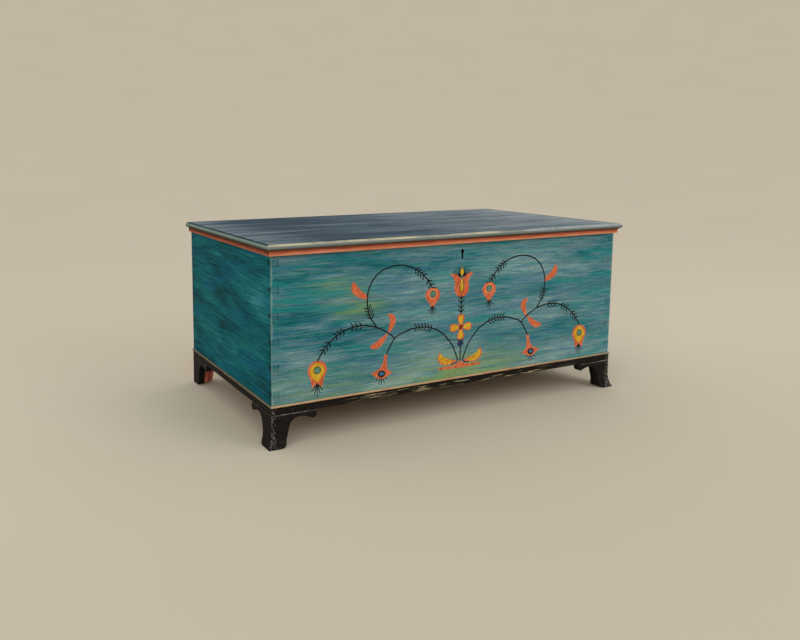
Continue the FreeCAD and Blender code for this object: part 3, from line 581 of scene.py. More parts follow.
pine_till = bare_pine("bare_pine_till", ALONG_Y, (0.0, -0.5, 0.3), (196, 152, 102), (134, 90, 54))
for board in ("till_bottom", "till_side"):
    dress(board, BOARD_ROUND, [pine_till], "case")


# The bead: a thin half-round strip along the foot of the case, mitred at the corners.
# Cream paint over an older salmon red that shows where it has worn; on the ends it is greyer and darker, the
# darkness partly a painted shade.

STRIP_ROUND = 0.0005
STRIP_RELIEF = 0.0003
STRIPS = {"front": ALONG_X, "left": ALONG_Y, "right": ALONG_Y}
# The end tones are darker than the front's, partly a painted shade for the side turned from the light.
END_BEAD = [(0.34, (94, 82, 64)), (0.45, (112, 104, 84)), (0.56, (124, 118, 96)), (0.72, (102, 100, 82))]
FRONT_BEAD = [
    (0.32, (168, 102, 76)), (0.44, (186, 142, 108)), (0.56, (194, 166, 130)), (0.72, (164, 148, 114))]
FRONT_DULLED = 0.75


def bead_paint(name, turn, coats, dulled):
    """Paint on a thin strip: (thickness, colour) coats that show in turn, dulled towards the right."""
    material, place = new_material(name)
    along = turned(place, turn)
    stroke, bristle = brushed(along, long=0.06, wide=0.004, wander=0.01)
    greyer = graded(parts(along)[0], 0.1, 0.6, 0.0, dulled)
    paint = mixed(greyer, ramp(stroke, coats), (146, 138, 118))
    return dried(material, lined(paint, bristle, 0.78, 1.16), bristle, 0.5, 0.72, STRIP_RELIEF)


for side, turn in STRIPS.items():
    coats, dulled = (FRONT_BEAD, FRONT_DULLED) if side == "front" else (END_BEAD, 0.0)
    cream_bead = bead_paint("cream_bead_" + side, turn, coats, dulled)
    dress("base_bead_" + side, STRIP_ROUND, [cream_bead], "case")


# The base rail: pine strips round the edge of the bottom, mitred and nailed, painted black.
# Feet and brooms have worn the paint through in streaks, most along the middle of the front.

BLACK_PAINT_GLOSS = 0.06
BLACK_RELIEF = 0.0005
BLACK_TONES = [(0.34, (14, 11, 11)), (0.56, (25, 21, 20)), (0.74, (52, 47, 44))]
GROUND_TONES = [(0.30, (98, 80, 54)), (0.48, (172, 158, 118)), (0.66, (210, 200, 162))]
RAIL_HEIGHT = 0.016
SCRATCH_AND_HIGHLIGHT_REACH = 0.016
LEAST_SCRATCHED_AND_HIGHLIT = 0.06
SCRATCH_AND_HIGHLIGHT_FINENESS = (300.0, 300.0, 130.0)
TOP_HIGHLIGHT_DEPTH = 0.0042
TOP_HIGHLIGHT_CLOUDS = 42.0
FAR_OFF = 9.0
UNWORN = (FAR_OFF, FAR_OFF)
rail_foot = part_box("base_rail_front")[0].z
base_low = Vector((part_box("base_rail_left")[0].x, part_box("base_rail_front")[0].y, -FAR_OFF))
base_high = Vector((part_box("base_rail_right")[1].x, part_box("base_rail_left")[1].y, FAR_OFF))


def black_paint(name, turn, worn, scratched_and_highlit, top_highlight):
    """Black paint on pine: worn through between two places, pale scratch marks at the corners that are
    partly a painted highlight, and a painted highlight along the top edge.
    """
    material, place = new_material(name)
    along = turned(place, turn)
    x, _, z = parts(along)
    stroke, bristle = brushed(along, long=0.08, wide=0.004, wander=0.01)
    worn_from, worn_to = worn
    risen = graded(x, worn_from - 0.15, worn_from + 0.1)
    fallen = graded(x, worn_to - 0.1, worn_to + 0.2, 1.0, 0.0)
    low_down = graded(z, rail_foot, rail_foot + RAIL_HEIGHT, 0.13, 0.06)
    showing = graded(total(stroke, low_down), 0.64, 0.74, 0.0, 0.92)
    through = times(showing, times(risen, fallen))
    paint = mixed(through, ramp(bristle, BLACK_TONES), ramp(bristle, GROUND_TONES))
    # Pale scratch marks near the corners: partly real scratches, partly a painted highlight on the edges.
    rub_and_highlight = placed(edge_rub_and_highlight, Place=place, Low=base_low, High=base_high, Reach=SCRATCH_AND_HIGHLIGHT_REACH)["RubAndHighlight"]
    at_corner = sums("MAXIMUM", rub_and_highlight, LEAST_SCRATCHED_AND_HIGHLIT)
    fine = vectors("MULTIPLY", place, SCRATCH_AND_HIGHLIGHT_FINENESS)
    scratches_and_highlight = graded(noise(fine, 1.0, 4.0, 0.65), 0.5, 0.64, 0.0, scratched_and_highlit)
    paint = mixed(times(at_corner, scratches_and_highlight), paint, (168, 164, 158))
    # Painted highlight: a broken pale line along the top edge of a bracket, under the rail.
    top_edge = graded(less(rail_foot, z), 0.001, TOP_HIGHLIGHT_DEPTH, 1.0, 0.0)
    uneven = graded(stroke, 0.4, 0.6, 0.1 * top_highlight, top_highlight)
    broken = graded(noise(place, TOP_HIGHLIGHT_CLOUDS, 3.0), 0.4, 0.58, 0.3, 1.0)
    paint = mixed(times(top_edge, times(uneven, broken)), paint, (158, 152, 142))
    return dried(material, paint, bristle, 0.46, 0.7, BLACK_RELIEF, BLACK_PAINT_GLOSS)


black_rail_front = black_paint("black_rail_front", ALONG_X, (-0.32, 0.3), scratched_and_highlit=0.6, top_highlight=0.0)
black_rail_ends = black_paint("black_rail_ends", ALONG_Y, UNWORN, scratched_and_highlit=0.0, top_highlight=0.0)
for side in STRIPS:
    black = black_rail_front if side == "front" else black_rail_ends
    dress("base_rail_" + side, STRIP_ROUND, [black], "case")


# The feet: scrolled pine brackets, mitred in pairs at the front corners and swept out at the toe.
# Each rear foot has one such bracket and a plain one behind it, washed red and never painted over.

FOOT_ROUND = 0.0014
BRACKET_RING = 0.009
WASH_CLOUDS = 22.0


def red_wash():
    """Thin red colour soaked into rough pine, with the grain dark in it, made paler than the wash itself as
    painted light for its place in the shade under the chest.
    """
    material, place = new_material("red_wash")
    grain = placed(pine_grain, Place=place, Pith=(0.0, 0.6, 0.0), Ring=BRACKET_RING)
    patches = graded(noise(place, WASH_CLOUDS, 3.0), 0.3, 0.7)
    # Painted light: both reds are paler than the real wash, to lift the bracket out of the shade under the
    # chest.
    wash = mixed(patches, (232, 130, 102), (240, 156, 128))
    wash = mixed(times(grain["Rings"], 0.5), wash, (120, 60, 42))
    rough = graded(grain["Fibre"], 0.2, 0.8, 0.6, 0.8)
    return surface(material, wash, rough, grain["Fibre"], GRAIN_RELIEF)


red_bracket = red_wash()
# The front brackets get the strongest painted highlights, at the corner and along the top edge.
black_long = black_paint("black_front_brackets", ALONG_X, UNWORN, scratched_and_highlit=0.8, top_highlight=0.75)
black_deep = black_paint("black_side_brackets", ALONG_Y, UNWORN, scratched_and_highlit=0.08, top_highlight=0.3)
for hand in ("left", "right"):
    brackets = {
        f"front_{hand}_foot_front_bracket": (black_long, "base_paint"),
        f"front_{hand}_foot_side_bracket": (black_deep, "base_paint"),
        f"rear_{hand}_foot_side_bracket": (black_deep, "base_paint"),
        f"rear_{hand}_foot_back_bracket": (red_bracket, "red_wash"),
    }
    for bracket, (finish, slot) in brackets.items():
        dress(bracket, FOOT_ROUND, [finish], "case")


# The corner blocks and glue strips: offcuts of pine glued behind the brackets and under the bottom.
# The strips are bare and dark with glue; each block is coloured like the bracket it stands behind, the front
# ones black as a painted shade where they sit in shadow.

pine_strips = bare_pine("rough_pine_strips", ALONG_X, (0.0, 0.5, 0.3), (150, 112, 72), (98, 68, 42))
coat(frame["nodes"]["foot_glue_strips"], [pine_strips])
for hand in ("left", "right"):
    # The front blocks are painted black as painted shade; the rear ones take the red of the bracket behind
    # them.
    for end, finish in (("front", black_deep), ("rear", red_bracket)):
        dress(f"{end}_{hand}_foot_block", BOARD_ROUND, [finish], "case")


# The lid: two boards tongued together, with a step and a half-round nose worked along the front and ends.
# Slate-blue paint on top, brushed along the boards; the moulded edge is paler, partly worn and partly a
# painted highlight, with painted shade below it; bare underneath.

LID_ROUND = 0.0005
LID_NOSE = 0.0065
FACES_DOWN = -0.99
LID_TONES = [(0.26, (42, 60, 76)), (0.40, (69, 89, 105)), (0.54, (98, 113, 123)), (0.74, (140, 147, 150))]
LID_DRAGS = (((2.3, 4.0, 1.2), (0.3, 0.05), (0.5, 0.7, 0.35), (76, 100, 104)),)
lid_low = Vector(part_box("lid_board_front")[0])
lid_high = Vector(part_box("lid_board_rear")[1])


def nosed(place, paint):
    """The moulded edge: a grey nose, partly worn pale and partly a painted highlight, with painted shade
    below it; a painted cream highlight on the front's crest; a painted shadow in the quirk at the ends.
    """
    x, y, z = parts(place)
    from_end = sums("MINIMUM", less(x, lid_low.x), less(lid_high.x, x))
    from_front = less(y, lid_low.y)
    from_edge = sums("MINIMUM", from_end, from_front)
    at_front = graded(less(from_end, from_front), -0.001, 0.001)
    # The paler grey nose: partly worn paint, partly a painted highlight.
    on_nose = graded(from_edge, LID_NOSE - 0.0006, LID_NOSE, 0.85, 0.0)
    paint = mixed(on_nose, paint, mixed(at_front, (122, 138, 130), (120, 129, 126)))
    nose_up = less(z, lid_low.z + LID_NOSE)
    # Painted shade under the nose, reaching higher at the ends.
    deeper = less(nose_up, graded(at_front, 0.0, 1.0, 0.0025, 0.0))
    paint = mixed(graded(deeper, -0.0055, -0.001, 0.85, 0.0), paint, (58, 66, 64))
    # Painted highlight: a broken cream line along the front's crest.
    crest = times(graded(nose_up, 0.0025, 0.0048),
                  graded(from_edge, LID_NOSE + 0.0005, LID_NOSE + 0.0025, 1.0, 0.0))
    patchy = graded(streaks(place, (0.0, 2.0, 6.0), 0.12, 0.05), 0.38, 0.58, 0.25, 0.95)
    cream = mixed(graded(x, 0.0, 0.4), (194, 190, 162), (168, 176, 180))
    paint = mixed(times(times(crest, at_front), patchy), paint, cream)
    # Painted shadow: a dark line in the quirk at the ends, where the step faces away from the light.
    from_quirk = sums("ABSOLUTE", less(from_edge, LID_NOSE + 0.001))
    quirk = times(graded(from_quirk, 0.002, 0.0045, 0.95, 0.0), less(1.0, at_front))
    return mixed(quirk, paint, (26, 54, 56))


def slate_paint():
    """Slate blue in long drags, dark left of the middle and paler to the right."""
    material, place = new_material("slate_blue_lid")
    x = parts(place)[0]
    stroke, bristle = brushed(place, long=0.16, wide=0.006, wander=0.006)
    thin = total(
        streaks(place, (4.0, 7.0, 0.0), 0.6, 0.05),
        swung(stroke, 0.17),
        graded(x, -0.5, 0.5, -0.2, 0.095),
        graded(x, lid_low.x, -0.4, 0.2, -0.03),
        graded(x, 0.38, lid_high.x, 0.0, 0.14))
    paint = dragged(place, ramp(thin, LID_TONES), LID_DRAGS)
    paint = toothed(place, lined(paint, bristle, 0.8, 1.22), 0.13)
    paint = nosed(place, paint)
    return dried(material, paint, bristle, 0.6, 0.8, PAINT_RELIEF)


def lid_face(_, facing):
    """0 for the painted top and edges, 1 for the bare underside."""
    return 1 if facing.z < FACES_DOWN else 0


slate_blue = slate_paint()
pine_lid = bare_pine("bare_pine_lid", ALONG_X, (0.0, 0.1, 0.9), (194, 150, 100), (130, 88, 52))
for board in ("lid_board_front", "lid_board_rear"):
    dress(board, LID_ROUND, [slate_blue, pine_lid], "lid", lid_face)


# The cove: a hollow moulding nailed under the lid's overhang on three sides, mitred at the corners.
# Terracotta red, with painted shade up under the lid and a painted highlight along its foot; the ends
# darker, as painted shade.

# Each table runs from a painted highlight at the foot to painted shade up under the lid; the end tones are
# darker as painted shade.
END_COVE = [(0.05, (166, 96, 74)), (0.3, (148, 78, 54)), (0.58, (116, 58, 42)), (0.88, (78, 42, 32))]
FRONT_COVE = [(0.05, (206, 136, 106)), (0.3, (194, 108, 76)), (0.58, (172, 92, 64)), (0.88, (124, 68, 50))]
cove_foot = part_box("lid_cove_front")[0].z
cove_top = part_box("lid_cove_front")[1].z


def terracotta(name, turn, tones):
    """Terracotta paint in (height, colour) tones up the hollow, streaked along the strip."""
    material, place = new_material(name)
    stroke, bristle = brushed(turned(place, turn), long=0.07, wide=0.004, wander=0.008)
    up = graded(parts(place)[2], cove_foot, cove_top)
    paint = ramp(total(up, swung(stroke, 0.22)), tones)
    return dried(material, lined(paint, bristle, 0.82, 1.14), bristle, 0.55, 0.75, STRIP_RELIEF)


for side, turn in STRIPS.items():
    tones = FRONT_COVE if side == "front" else END_COVE
    cove_paint = terracotta("terracotta_cove_" + side, turn, tones)
    dress("lid_cove_" + side, STRIP_ROUND, [cove_paint], "lid")


# The ironwork: two strap hinges with their leaves and pins, the lock, the staple, and every nail.
# All of it is hammered wrought iron, dark with scale and touched with rust.

HAMMER_MARKS = 130.0
HAMMER_DEPTH = 0.0008
RUST_CLOUDS = 38.0


def wrought_iron():
    """Hammered iron: dark scale, rust in patches and the dents of the hammer."""
    material, place = new_material("wrought_iron")
    dents = noise(place, HAMMER_MARKS, 2.0)
    rusted = graded(noise(place, RUST_CLOUDS, 5.0, 0.7), 0.48, 0.66)
    scale = mixed(graded(dents, 0.3, 0.7), (38, 35, 34), (78, 74, 70))
    metal = mixed(times(rusted, 0.75), scale, (96, 58, 36))
    rough = graded(rusted, 0.0, 1.0, 0.42, 0.78)
    return surface(material, metal, rough, dents, HAMMER_DEPTH, graded(rusted, 0.0, 1.0, 0.85, 0.15))


iron = wrought_iron()
for members in frame["record"]["behaviour"]["bodies"].values():
    for member in members:
        if member.startswith(("hinge", "lock", "lid_staple")) or member.endswith("nails"):
            coat(frame["nodes"][member], [iron])


# The painted flowers: a decorator's spray on the front, mirrored left and right, laid colour on colour.
# First the orange dabs, then yellow, then the rims and eyes, each a little thicker than the one before.
# Points are in millimetres across from the middle of the front and up from the bead.

MM = 0.001
SPRAY_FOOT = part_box("base_bead_front")[1].z
ON_FRONT = Matrix.Translation((0.0, case_low.y, SPRAY_FOOT)) @ Matrix.Rotation(math.radians(90.0), 4, "X")
TIP = "VECTOR"
ROUND = "AUTO"
DAB_STEPS = 8
DAB_SLANT = (0.0, 60.0, 0.0)
DAB_RELIEF = 0.0004
ORANGE_THICK = 0.25
HEART_RIM_THICK = 0.33
YELLOW_THICK = 0.4
RIM_THICK = 0.5
EYE_THICK = 0.6


def mirrored(points):
    """The same stroke on the left of the front."""
    return [(-point[0],) + tuple(point[1:]) for point in points]


def both(*strokes):
    """Each stroke, and its mirror image on the left."""
    return list(strokes) + [mirrored(stroke) for stroke in strokes]


def whole(half):
    """A shape alike on both sides, from its right half, bottom to top."""
    return half + [point for point in mirrored(half)[::-1] if point[0] < 0.0]


def oval(middle, half_width, half_height):
    """A round dab of the brush."""
    x, y = middle
    return [(x + half_width, y), (x, y + half_height), (x - half_width, y), (x, y - half_height)]


def dab_paint(name, dark, main, light):
    """Thick decorator's paint, streaked by the brush and thin in places."""
    material, place = new_material(name)
    stroke, bristle = brushed(turned(place, DAB_SLANT), long=0.02, wide=0.004, wander=0.01)
    paint = ramp(stroke, [(0.3, dark), (0.5, main), (0.72, light)])
    return dried(material, lined(paint, bristle, 0.82, 1.12), bristle, 0.5, 0.7, DAB_RELIEF)


def on_front(name, mesh, paint):
    """Lays a flat mesh on the front board as one painted piece."""
    mesh.transform(ON_FRONT)
    mesh.materials.clear()
    mesh.materials.append(paint)
    piece = stood(name, mesh)
    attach(piece, "case")


def dabs(name, outlines, thick, paint):
    """Flat dabs of paint with these outlines, round but for the points marked TIP."""
    joined = bmesh.new()
    for outline in outlines:
        curve = bpy.data.curves.new(name, "CURVE")
        curve.dimensions = "2D"
        curve.fill_mode = "BOTH"
        curve.extrude = thick * MM
        curve.resolution_u = DAB_STEPS
        spline = curve.splines.new("BEZIER")
        spline.bezier_points.add(len(outline) - 1)
        spline.use_cyclic_u = True
        for knot, (across, up, *corner) in zip(spline.bezier_points, outline):
            knot.co = (across * MM, up * MM, 0.0)
            knot.handle_left_type = knot.handle_right_type = TIP if corner else ROUND
        holder = stood(name, curve)
        flat = baked(holder)
        bpy.data.objects.remove(holder)
        bpy.data.curves.remove(curve)
        shape = bmesh.new()
        shape.from_mesh(flat)
        bmesh.ops.remove_doubles(shape, verts=shape.verts, dist=WELD)
        bmesh.ops.recalc_face_normals(shape, faces=shape.faces)
        shape.to_mesh(flat)
        shape.free()
        joined.from_mesh(flat)
        bpy.data.meshes.remove(flat)
    mesh = bpy.data.meshes.new(name)
    joined.to_mesh(mesh)
    joined.free()
    on_front(name, mesh, paint)


TULIP = whole([(0, 242), (17, 247), (26, 266), (25, 288), (42, 313, TIP), (20, 309), (8, 300), (0, 296)])
MOUND = whole([(0, 26), (77, 28, TIP), (76, 35, TIP), (30, 36), (13, 40), (0, 47)])
LEAF_AT_FOOT = [(8, 48, TIP), (34, 56), (58, 63), (74, 83, TIP), (81, 61), (66, 43), (38, 40)]
UPPER_LEAF = [
    (250, 158, TIP), (237, 173), (228, 190), (231, 206), (241, 213), (256, 216, TIP), (249, 203), (247, 188),
    (251, 173)]
LOWER_LEAF = [(252, 161, TIP), (270, 151), (290, 139), (314, 127, TIP), (299, 118), (279, 123), (263, 139)]
CURL_LEAF = [
    (322, 262, TIP), (342, 267), (360, 277), (371, 292), (366, 316, TIP), (354, 302), (342, 288),
    (325, 277, TIP)]
TRUMPET = [
    (256, 99), (262, 98), (267, 81), (274, 66), (284, 57), (307, 49, TIP), (291, 36), (273, 29), (255, 34),
    (237, 44, TIP), (252, 54), (255, 66), (256, 82)]
LONG_BUD = [
    (476, 107), (496, 100), (505, 80), (496, 56), (491, 33, TIP), (476, 42), (461, 33, TIP), (456, 56),
    (447, 80), (456, 100)]
DROP_BUD = [(102, 277), (120, 271), (128, 255), (116, 234), (103, 217, TIP), (88, 234), (77, 255), (85, 271)]
FLOWER_MIDDLE = (0.0, 150.0)
FLOWER_HEART = 6.0
PETAL = [(0, 2), (8, 13), (12.5, 27), (7, 38), (-7, 38), (-12.5, 27), (-8, 13)]
PETAL_MIDDLE = 24.0
QUARTER_TURNS = ((1, 0, 0, 1), (0, 1, -1, 0), (-1, 0, 0, -1), (0, -1, 1, 0))


def petals(size):
    """Four petals about the flower's middle, each scaled about its own middle."""
    grown = [(across * size, PETAL_MIDDLE + (up - PETAL_MIDDLE) * size) for across, up in PETAL]
    return [[(FLOWER_MIDDLE[0] + a * across + b * up, FLOWER_MIDDLE[1] + c * across + d * up)
             for across, up in grown] for a, b, c, d in QUARTER_TURNS]


orange = dab_paint("orange_paint", (180, 80, 50), (206, 104, 67), (224, 140, 102))
middle_dabs = petals(1.0) + [oval(FLOWER_MIDDLE, FLOWER_HEART, FLOWER_HEART), TULIP, MOUND]
side_dabs = both(LEAF_AT_FOOT, UPPER_LEAF, LOWER_LEAF, CURL_LEAF, TRUMPET, LONG_BUD, DROP_BUD)
dabs("spray_orange", middle_dabs + side_dabs, ORANGE_THICK, orange)

HEARTS = ((274.0, 25.0), (316.0, 14.0))
HEART_HALF = 6.0
HEART_RIM = 2.6


def heart(middle, half_height, rim):
    """A pointed oval up the tulip, or the dark rim that shows round it."""
    tall = half_height + rim
    wide = HEART_HALF + rim
    return [(0, middle - tall, TIP), (wide, middle), (0, middle + tall, TIP), (-wide, middle)]


ink = dab_paint("black_line_paint", (20, 22, 26), (32, 34, 38), (56, 58, 60))
dabs("spray_heart_rims", [heart(*place, HEART_RIM) for place in HEARTS], HEART_RIM_THICK, ink)

INNER_PETAL_SIZE = 0.7
INNER_LEAF = [(24, 49, TIP), (44, 58), (60, 66), (72, 77, TIP), (76, 61), (64, 47), (40, 43)]
INNER_BUD = [(476, 102), (491, 94), (498, 79), (488, 59), (476, 47, TIP), (464, 59), (454, 79), (461, 94)]
yellow = dab_paint("yellow_paint", (188, 126, 26), (210, 164, 42), (226, 194, 76))
yellow_dabs = petals(INNER_PETAL_SIZE) + [heart(*place, 0.0) for place in HEARTS]
yellow_dabs += both(INNER_LEAF, INNER_BUD)
dabs("spray_yellow", yellow_dabs, YELLOW_THICK, yellow)

LEAF_VEIN = [(28, 48, TIP), (48, 54), (67, 65, TIP), (49, 51)]
rust = dab_paint("rust_vein_paint", (176, 84, 30), (196, 104, 40), (212, 128, 56))
dabs("spray_leaf_veins", both(LEAF_VEIN), EYE_THICK, rust)

DROP_BUD_EYE = (102.0, 258.0)
BUD_EYES = ((476.0, 81.0), DROP_BUD_EYE)
TRUMPET_EYE = (273.0, 44.0)
SALMON_RING = (16.0, 15.0)
BUD_EYE_RIM = (11.0, 10.6)
BUD_EYE_SIZE = (9.2, 8.8)
TRUMPET_EYE_RIM = (12.5, 9.5)
TRUMPET_EYE_SIZE = (7.4, 5.2)
salmon = dab_paint("salmon_ring_paint", (222, 122, 80), (230, 140, 98), (238, 160, 122))
dabs("spray_salmon_rings", both(oval(DROP_BUD_EYE, *SALMON_RING)), YELLOW_THICK, salmon)
bud_rims = [oval(eye, *BUD_EYE_RIM) for eye in BUD_EYES]
dabs("spray_eye_rims", both(*bud_rims, oval(TRUMPET_EYE, *TRUMPET_EYE_RIM)), RIM_THICK, ink)
green_eye = dab_paint("green_eye_paint", (70, 112, 96), (92, 136, 116), (124, 160, 138))
dabs("spray_green_eyes", both(*[oval(eye, *BUD_EYE_SIZE) for eye in BUD_EYES]), EYE_THICK, green_eye)
blue_eye = dab_paint("blue_eye_paint", (38, 84, 120), (62, 112, 146), (104, 146, 172))
dabs("spray_blue_eyes", both(oval(TRUMPET_EYE, *TRUMPET_EYE_SIZE)), EYE_THICK, blue_eye)

STEM_BUD = [(0, 112), (9, 105), (5, 93), (0, 87, TIP), (-5, 93), (-9, 105)]
navy = dab_paint("navy_bud_paint", (24, 34, 58), (42, 56, 88), (70, 90, 122))
dabs("spray_navy_bud", [STEM_BUD], EYE_THICK, navy)


# The vines and ferns: the last of the decorator's work, drawn over the flowers in black with a thin brush.
# Fine hairs stand out of each flower, and ferns are pairs of short dabs that lean along the vines.

VINE_HALF = 2.2
HAIR_HALF = 2.0
HAIR_TIP_SHARE = 0.5
LINE_STEP = 0.003
LINE_FLAT = 0.16
LINE_SIDES = 8
SHAPE = {"Geometry": "Geometry"}


def grow(kind, inputs, tree=None, **settings):
    """Adds a geometry node and returns its first output."""
    return place_node("GeometryNode" + kind, inputs, settings, tree).outputs[0]


def reckon(kind, inputs, **settings):
    """Adds a function node and returns its first output."""
    return place_node("FunctionNode" + kind, inputs, settings).outputs[0]


def flat_line(guide, half, sides, flatness):
    """A round line of this half width along a guide, pressed flat."""
    tip = grow("CurvePrimitiveCircle", {"Resolution": sides, "Radius": 1.0}, guide.id_data)
    line = grow("CurveToMesh", {"Curve": guide, "Profile Curve": tip, "Scale": half, "Fill Caps": True})
    press = add("CombineXYZ", {0: 1.0, 1: 1.0, 2: flatness}).outputs[0]
    return grow("Transform", {"Geometry": line, "Scale": press})


def painted(tree, shape, paint, result):
    """Ends a tree: what it has grown, made real and given its paint."""
    real = grow("RealizeInstances", {0: shape})
    coated = grow("SetMaterial", {"Geometry": real, "Material": paint})
    tree.links.new(coated, result["Geometry"])


def make_painted_lines():
    """A thin brush drawn along each guide: a flat line of the guide's own width."""
    sizes = {"Step": "Float", "Flatness": "Float", "Paint": "Material"}
    tree, given, result = node_group("Geometry", "painted_lines", SHAPE | sizes, SHAPE)
    guide = grow("MeshToCurve", {0: given["Geometry"]})
    guide = grow("CurveSplineType", {0: guide}, spline_type="CATMULL_ROM")
    guide = grow("ResampleCurve", {"Curve": guide, "Length": given["Step"]}, mode="LENGTH")
    half = grow("InputNamedAttribute", {"Name": "half_width"}, tree, data_type="FLOAT")
    line = flat_line(guide, half, LINE_SIDES, given["Flatness"])
    painted(tree, line, given["Paint"], result)
    return tree


LEAFLET_STEPS = 6
LEAFLET_SIDES = 6
LEAFLET_SWELL = math.pi * 0.94
LEAFLET_ROOT = 0.12


def make_fern_sprigs():
    """Pairs of leaning leaflets set out along each short guide."""
    sizes = dict.fromkeys(("Leaflet Length", "Leaflet Half", "Spacing", "Lean", "Flatness"), "Float")
    sizes["Paint"] = "Material"
    tree, given, result = node_group("Geometry", "fern_sprigs", SHAPE | sizes, SHAPE)
    guide = grow("MeshToCurve", {0: given["Geometry"]})
    spaced = {"Curve": guide, "Length": given["Spacing"]}
    stations = place_node("GeometryNodeCurveToPoints", spaced, {"mode": "LENGTH"}).outputs
    leaflet_end = add("CombineXYZ", {0: given["Leaflet Length"]}).outputs[0]
    rib = grow("CurvePrimitiveLine", {"End": leaflet_end})
    rib = grow("ResampleCurve", {"Curve": rib, "Count": LEAFLET_STEPS})
    swell = sums("SINE", times(grow("SplineParameter", {}, tree), LEAFLET_SWELL))
    half = times(total(swell, LEAFLET_ROOT), given["Leaflet Half"])
    leaflet = flat_line(rib, half, LEAFLET_SIDES, given["Flatness"])
    along = reckon("AlignRotationToVector", {"Vector": stations["Tangent"]}, axis="X", pivot_axis="Z")
    pairs = tree.nodes.new("GeometryNodeJoinGeometry")
    for side in (1.0, -1.0):
        lean = add("CombineXYZ", {2: times(given["Lean"], side)}).outputs[0]
        lean = reckon("EulerToRotation", {0: lean})
        lean = reckon("RotateRotation", {0: along, 1: lean}, rotation_space="LOCAL")
        leaning = {"Points": stations[0], "Instance": leaflet, "Rotation": lean}
        tree.links.new(grow("InstanceOnPoints", leaning), pairs.inputs[0])
    painted(tree, pairs.outputs[0], given["Paint"], result)
    return tree


def drawn(name, strokes, tree, values, paint):
    """Draws strokes of (points, half width at the start, at the end) with a geometry tree."""
    points, edges, halves = [], [], []
    for stroke, first, last in strokes:
        start = len(points)
        for index, (across, up) in enumerate(stroke):
            points.append((across * MM, up * MM, 0.0))
            halves.append((first + (last - first) * index / (len(stroke) - 1)) * MM)
        edges += [(index, index + 1) for index in range(start, len(points) - 1)]
    guide = bpy.data.meshes.new(name)
    guide.from_pydata(points, edges, [])
    guide.attributes.new("half_width", "FLOAT", "POINT").data.foreach_set("value", halves)
    holder = stood(name + "_guide", guide)
    drawing = holder.modifiers.new(name, "NODES")
    drawing.node_group = tree
    for socket in tree.interface.items_tree:
        if socket.in_out == "INPUT" and socket.name in values:
            drawing[socket.identifier] = values[socket.name]
    mesh = baked(holder)
    bpy.data.objects.remove(holder)
    mesh.shade_smooth()
    on_front(name, mesh, paint)


MAIN_VINE = [
    (8, 49), (30, 98), (70, 141), (118, 162), (165, 164), (205, 154), (230, 142), (249, 114), (258, 97)]
FORK = [(230, 142), (254, 161), (290, 180)]
LOW_ARC = [(290, 180), (330, 189), (372, 187), (411, 173), (444, 148), (466, 121), (475, 105)]
HIGH_ARC = [
    (290, 180), (311, 211), (321, 249), (318, 285), (300, 319), (268, 342), (228, 350), (190, 346),
    (152, 329), (122, 302), (104, 275)]
STEM_TOP = [(0, 246), (0, 218), (0, 188)]
STEM_LOW = [(0, 114), (0, 78), (0, 46)]
FOOT_SHADOW = [(10, 47), (20, 43), (32, 40)]


def fan(root, ends):
    """Hair-thin strokes from one root."""
    return [[root, ((root[0] + end[0]) / 2.0, (root[1] + end[1]) / 2.0), end] for end in ends]


HAIRS = (
    fan((273, 39), [(254, 26), (263, 16), (273, 11), (283, 14), (293, 23)])
    + fan((476, 45), [(459, 24), (467, 15), (476, 8), (485, 13), (494, 22)])
    + fan((103, 224), [(89, 208), (96, 198), (104, 193), (111, 199), (118, 209)])
    + fan((5, 300), [(11, 331), (18, 329), (26, 323), (32, 317)]))
vines = both(MAIN_VINE, FORK, LOW_ARC, HIGH_ARC) + [STEM_TOP, STEM_LOW]
black_lines = [(line, VINE_HALF, VINE_HALF) for line in vines]
black_lines += [(line, HAIR_HALF, HAIR_HALF * HAIR_TIP_SHARE) for line in both(*HAIRS)]
black_lines += [(line, VINE_HALF, HAIR_HALF) for line in both(FOOT_SHADOW)]
line_sizes = {"Step": LINE_STEP, "Flatness": LINE_FLAT, "Paint": ink}
drawn("spray_black_lines", black_lines, make_painted_lines(), line_sizes, ink)

SPRIGS = both(
    [(102, 156), (128, 164), (154, 165)], [(307, 205), (317, 233)], [(164, 336), (138, 317)],
    [(121, 300), (106, 278)], [(336, 189), (362, 188)], [(392, 181), (414, 171)], [(438, 154), (454, 136)])
SPRIGS += [[(0, 222), (0, 234)], [(0, 194), (0, 206)], [(0, 90), (0, 102)]]
fern_sizes = {
    "Leaflet Length": 0.017, "Leaflet Half": 0.0019, "Spacing": 0.0095, "Lean": math.radians(47.0),
    "Flatness": LINE_FLAT, "Paint": ink}
fern_lines = [(sprig, VINE_HALF, VINE_HALF) for sprig in SPRIGS]
drawn("spray_fern_sprigs", fern_lines, make_fern_sprigs(), fern_sizes, ink)


# The room it stands in: a pale floor that rises slowly into a wall all round, with no line between them.
# Two broad lamps in front and an even pale sky give it a soft light with hardly any shadow.

FLOOR_RADIUS = 4.0
ROOM_RADIUS = 18.0
ROOM_RISE = 5.5
RISE_STEPS = 24
ROUND_STEPS = 96
FLOOR_MOTTLE = 1.3
FLOOR_RELIEF = 0.0002
FLOOR_GLOSS = 0.1


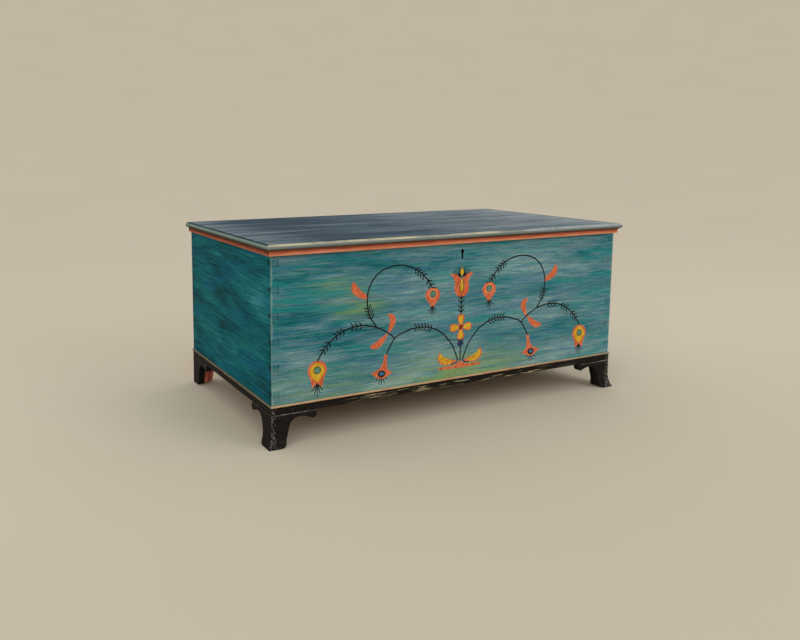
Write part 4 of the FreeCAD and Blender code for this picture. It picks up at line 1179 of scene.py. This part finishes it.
def studio_floor():
    """A round floor whose rim rises like a shallow bowl."""
    outline = [(0.0, 0.0, 0.0)]
    for step in range(RISE_STEPS + 1):
        share = step / RISE_STEPS
        outline.append((FLOOR_RADIUS + (ROOM_RADIUS - FLOOR_RADIUS) * share, 0.0, ROOM_RISE * share ** 2))
    shape = bmesh.new()
    points = [shape.verts.new(point) for point in outline]
    edges = [shape.edges.new(pair) for pair in zip(points, points[1:])]
    bmesh.ops.spin(shape, geom=points + edges, cent=(0.0, 0.0, 0.0), axis=(0.0, 0.0, 1.0),
                   angle=math.radians(360.0), steps=ROUND_STEPS)
    bmesh.ops.remove_doubles(shape, verts=shape.verts, dist=WELD)
    bmesh.ops.recalc_face_normals(shape, faces=shape.faces)
    mesh = bpy.data.meshes.new("studio_floor")
    shape.to_mesh(mesh)
    shape.free()
    mesh.shade_smooth()
    return stood("studio_floor", mesh)


def paper_floor():
    """Pale warm grey with the faintest mottle, darkened towards the front by a painted shade."""
    material, place = new_material("pale_floor")
    mottle = noise(place, FLOOR_MOTTLE, 4.0)
    # Painted shade: the floor is darker nearer the front, where the lamps light it most.
    painted_shade_near_front = graded(parts(place)[1], -1.6, 0.4, 1.0, 0.0)
    colour = mixed(mottle, (197, 189, 173), (203, 195, 179))
    colour = mixed(painted_shade_near_front, colour, (188, 180, 161))
    rough = graded(mottle, 0.0, 1.0, 0.85, 0.95)
    return surface(material, colour, rough, mottle, FLOOR_RELIEF, gloss=FLOOR_GLOSS)


floor = studio_floor()
coat(floor, [paper_floor()])

SOFT_LIGHTS = {
    "key_from_front_right": ((1.9, -3.8, 2.6), 2.6, 45.0),
    "fill_from_left": ((-3.6, -3.2, 1.8), 2.4, 34.0),
}
AIMED_AT = Vector((0.0, 0.0, 0.3))
SKY_STRENGTH = 0.95
for name, (stand, size, power) in SOFT_LIGHTS.items():
    lamp = bpy.data.lights.new(name, "AREA")
    lamp.size = size
    lamp.energy = power
    holder = stood(name, lamp)
    holder.location = stand
    holder.rotation_euler = (AIMED_AT - holder.location).to_track_quat("-Z", "Y").to_euler()

world = bpy.data.worlds.new("soft_room")
world.use_nodes = True
sky = world.node_tree.nodes["Background"].inputs
sky["Color"].default_value = shade(255, 252, 246)
sky["Strength"].default_value = SKY_STRENGTH
bpy.context.scene.world = world
bpy.context.scene.view_settings.view_transform = "Standard"


# The camera: where the picture was drawn from, in front of the left corner and a little above the lid.
# The lens is shifted so that the upright edges stay as nearly upright as they are drawn.

IMAGE_WIDTH = 800.0
IMAGE_HEIGHT = 640.0
PICTURE_CENTRE = (320.0, 248.0)
FOCAL_PIXELS = 773.65
SENSOR_WIDTH = 36.0
CAMERA_PLACE = (-1.385, -2.1454, 0.7951)
CAMERA_YAW = 0.4682
CAMERA_PITCH = 0.1298

lens = bpy.data.cameras.new("picture_camera")
lens.sensor_width = SENSOR_WIDTH
lens.lens = FOCAL_PIXELS / IMAGE_WIDTH * SENSOR_WIDTH
lens.shift_x = (IMAGE_WIDTH / 2.0 - PICTURE_CENTRE[0]) / IMAGE_WIDTH
lens.shift_y = (PICTURE_CENTRE[1] - IMAGE_HEIGHT / 2.0) / IMAGE_WIDTH
camera = stood("picture_camera", lens)
camera.location = CAMERA_PLACE
camera.rotation_euler = (math.radians(90.0) - CAMERA_PITCH, 0.0, -CAMERA_YAW)
bpy.context.scene.camera = camera
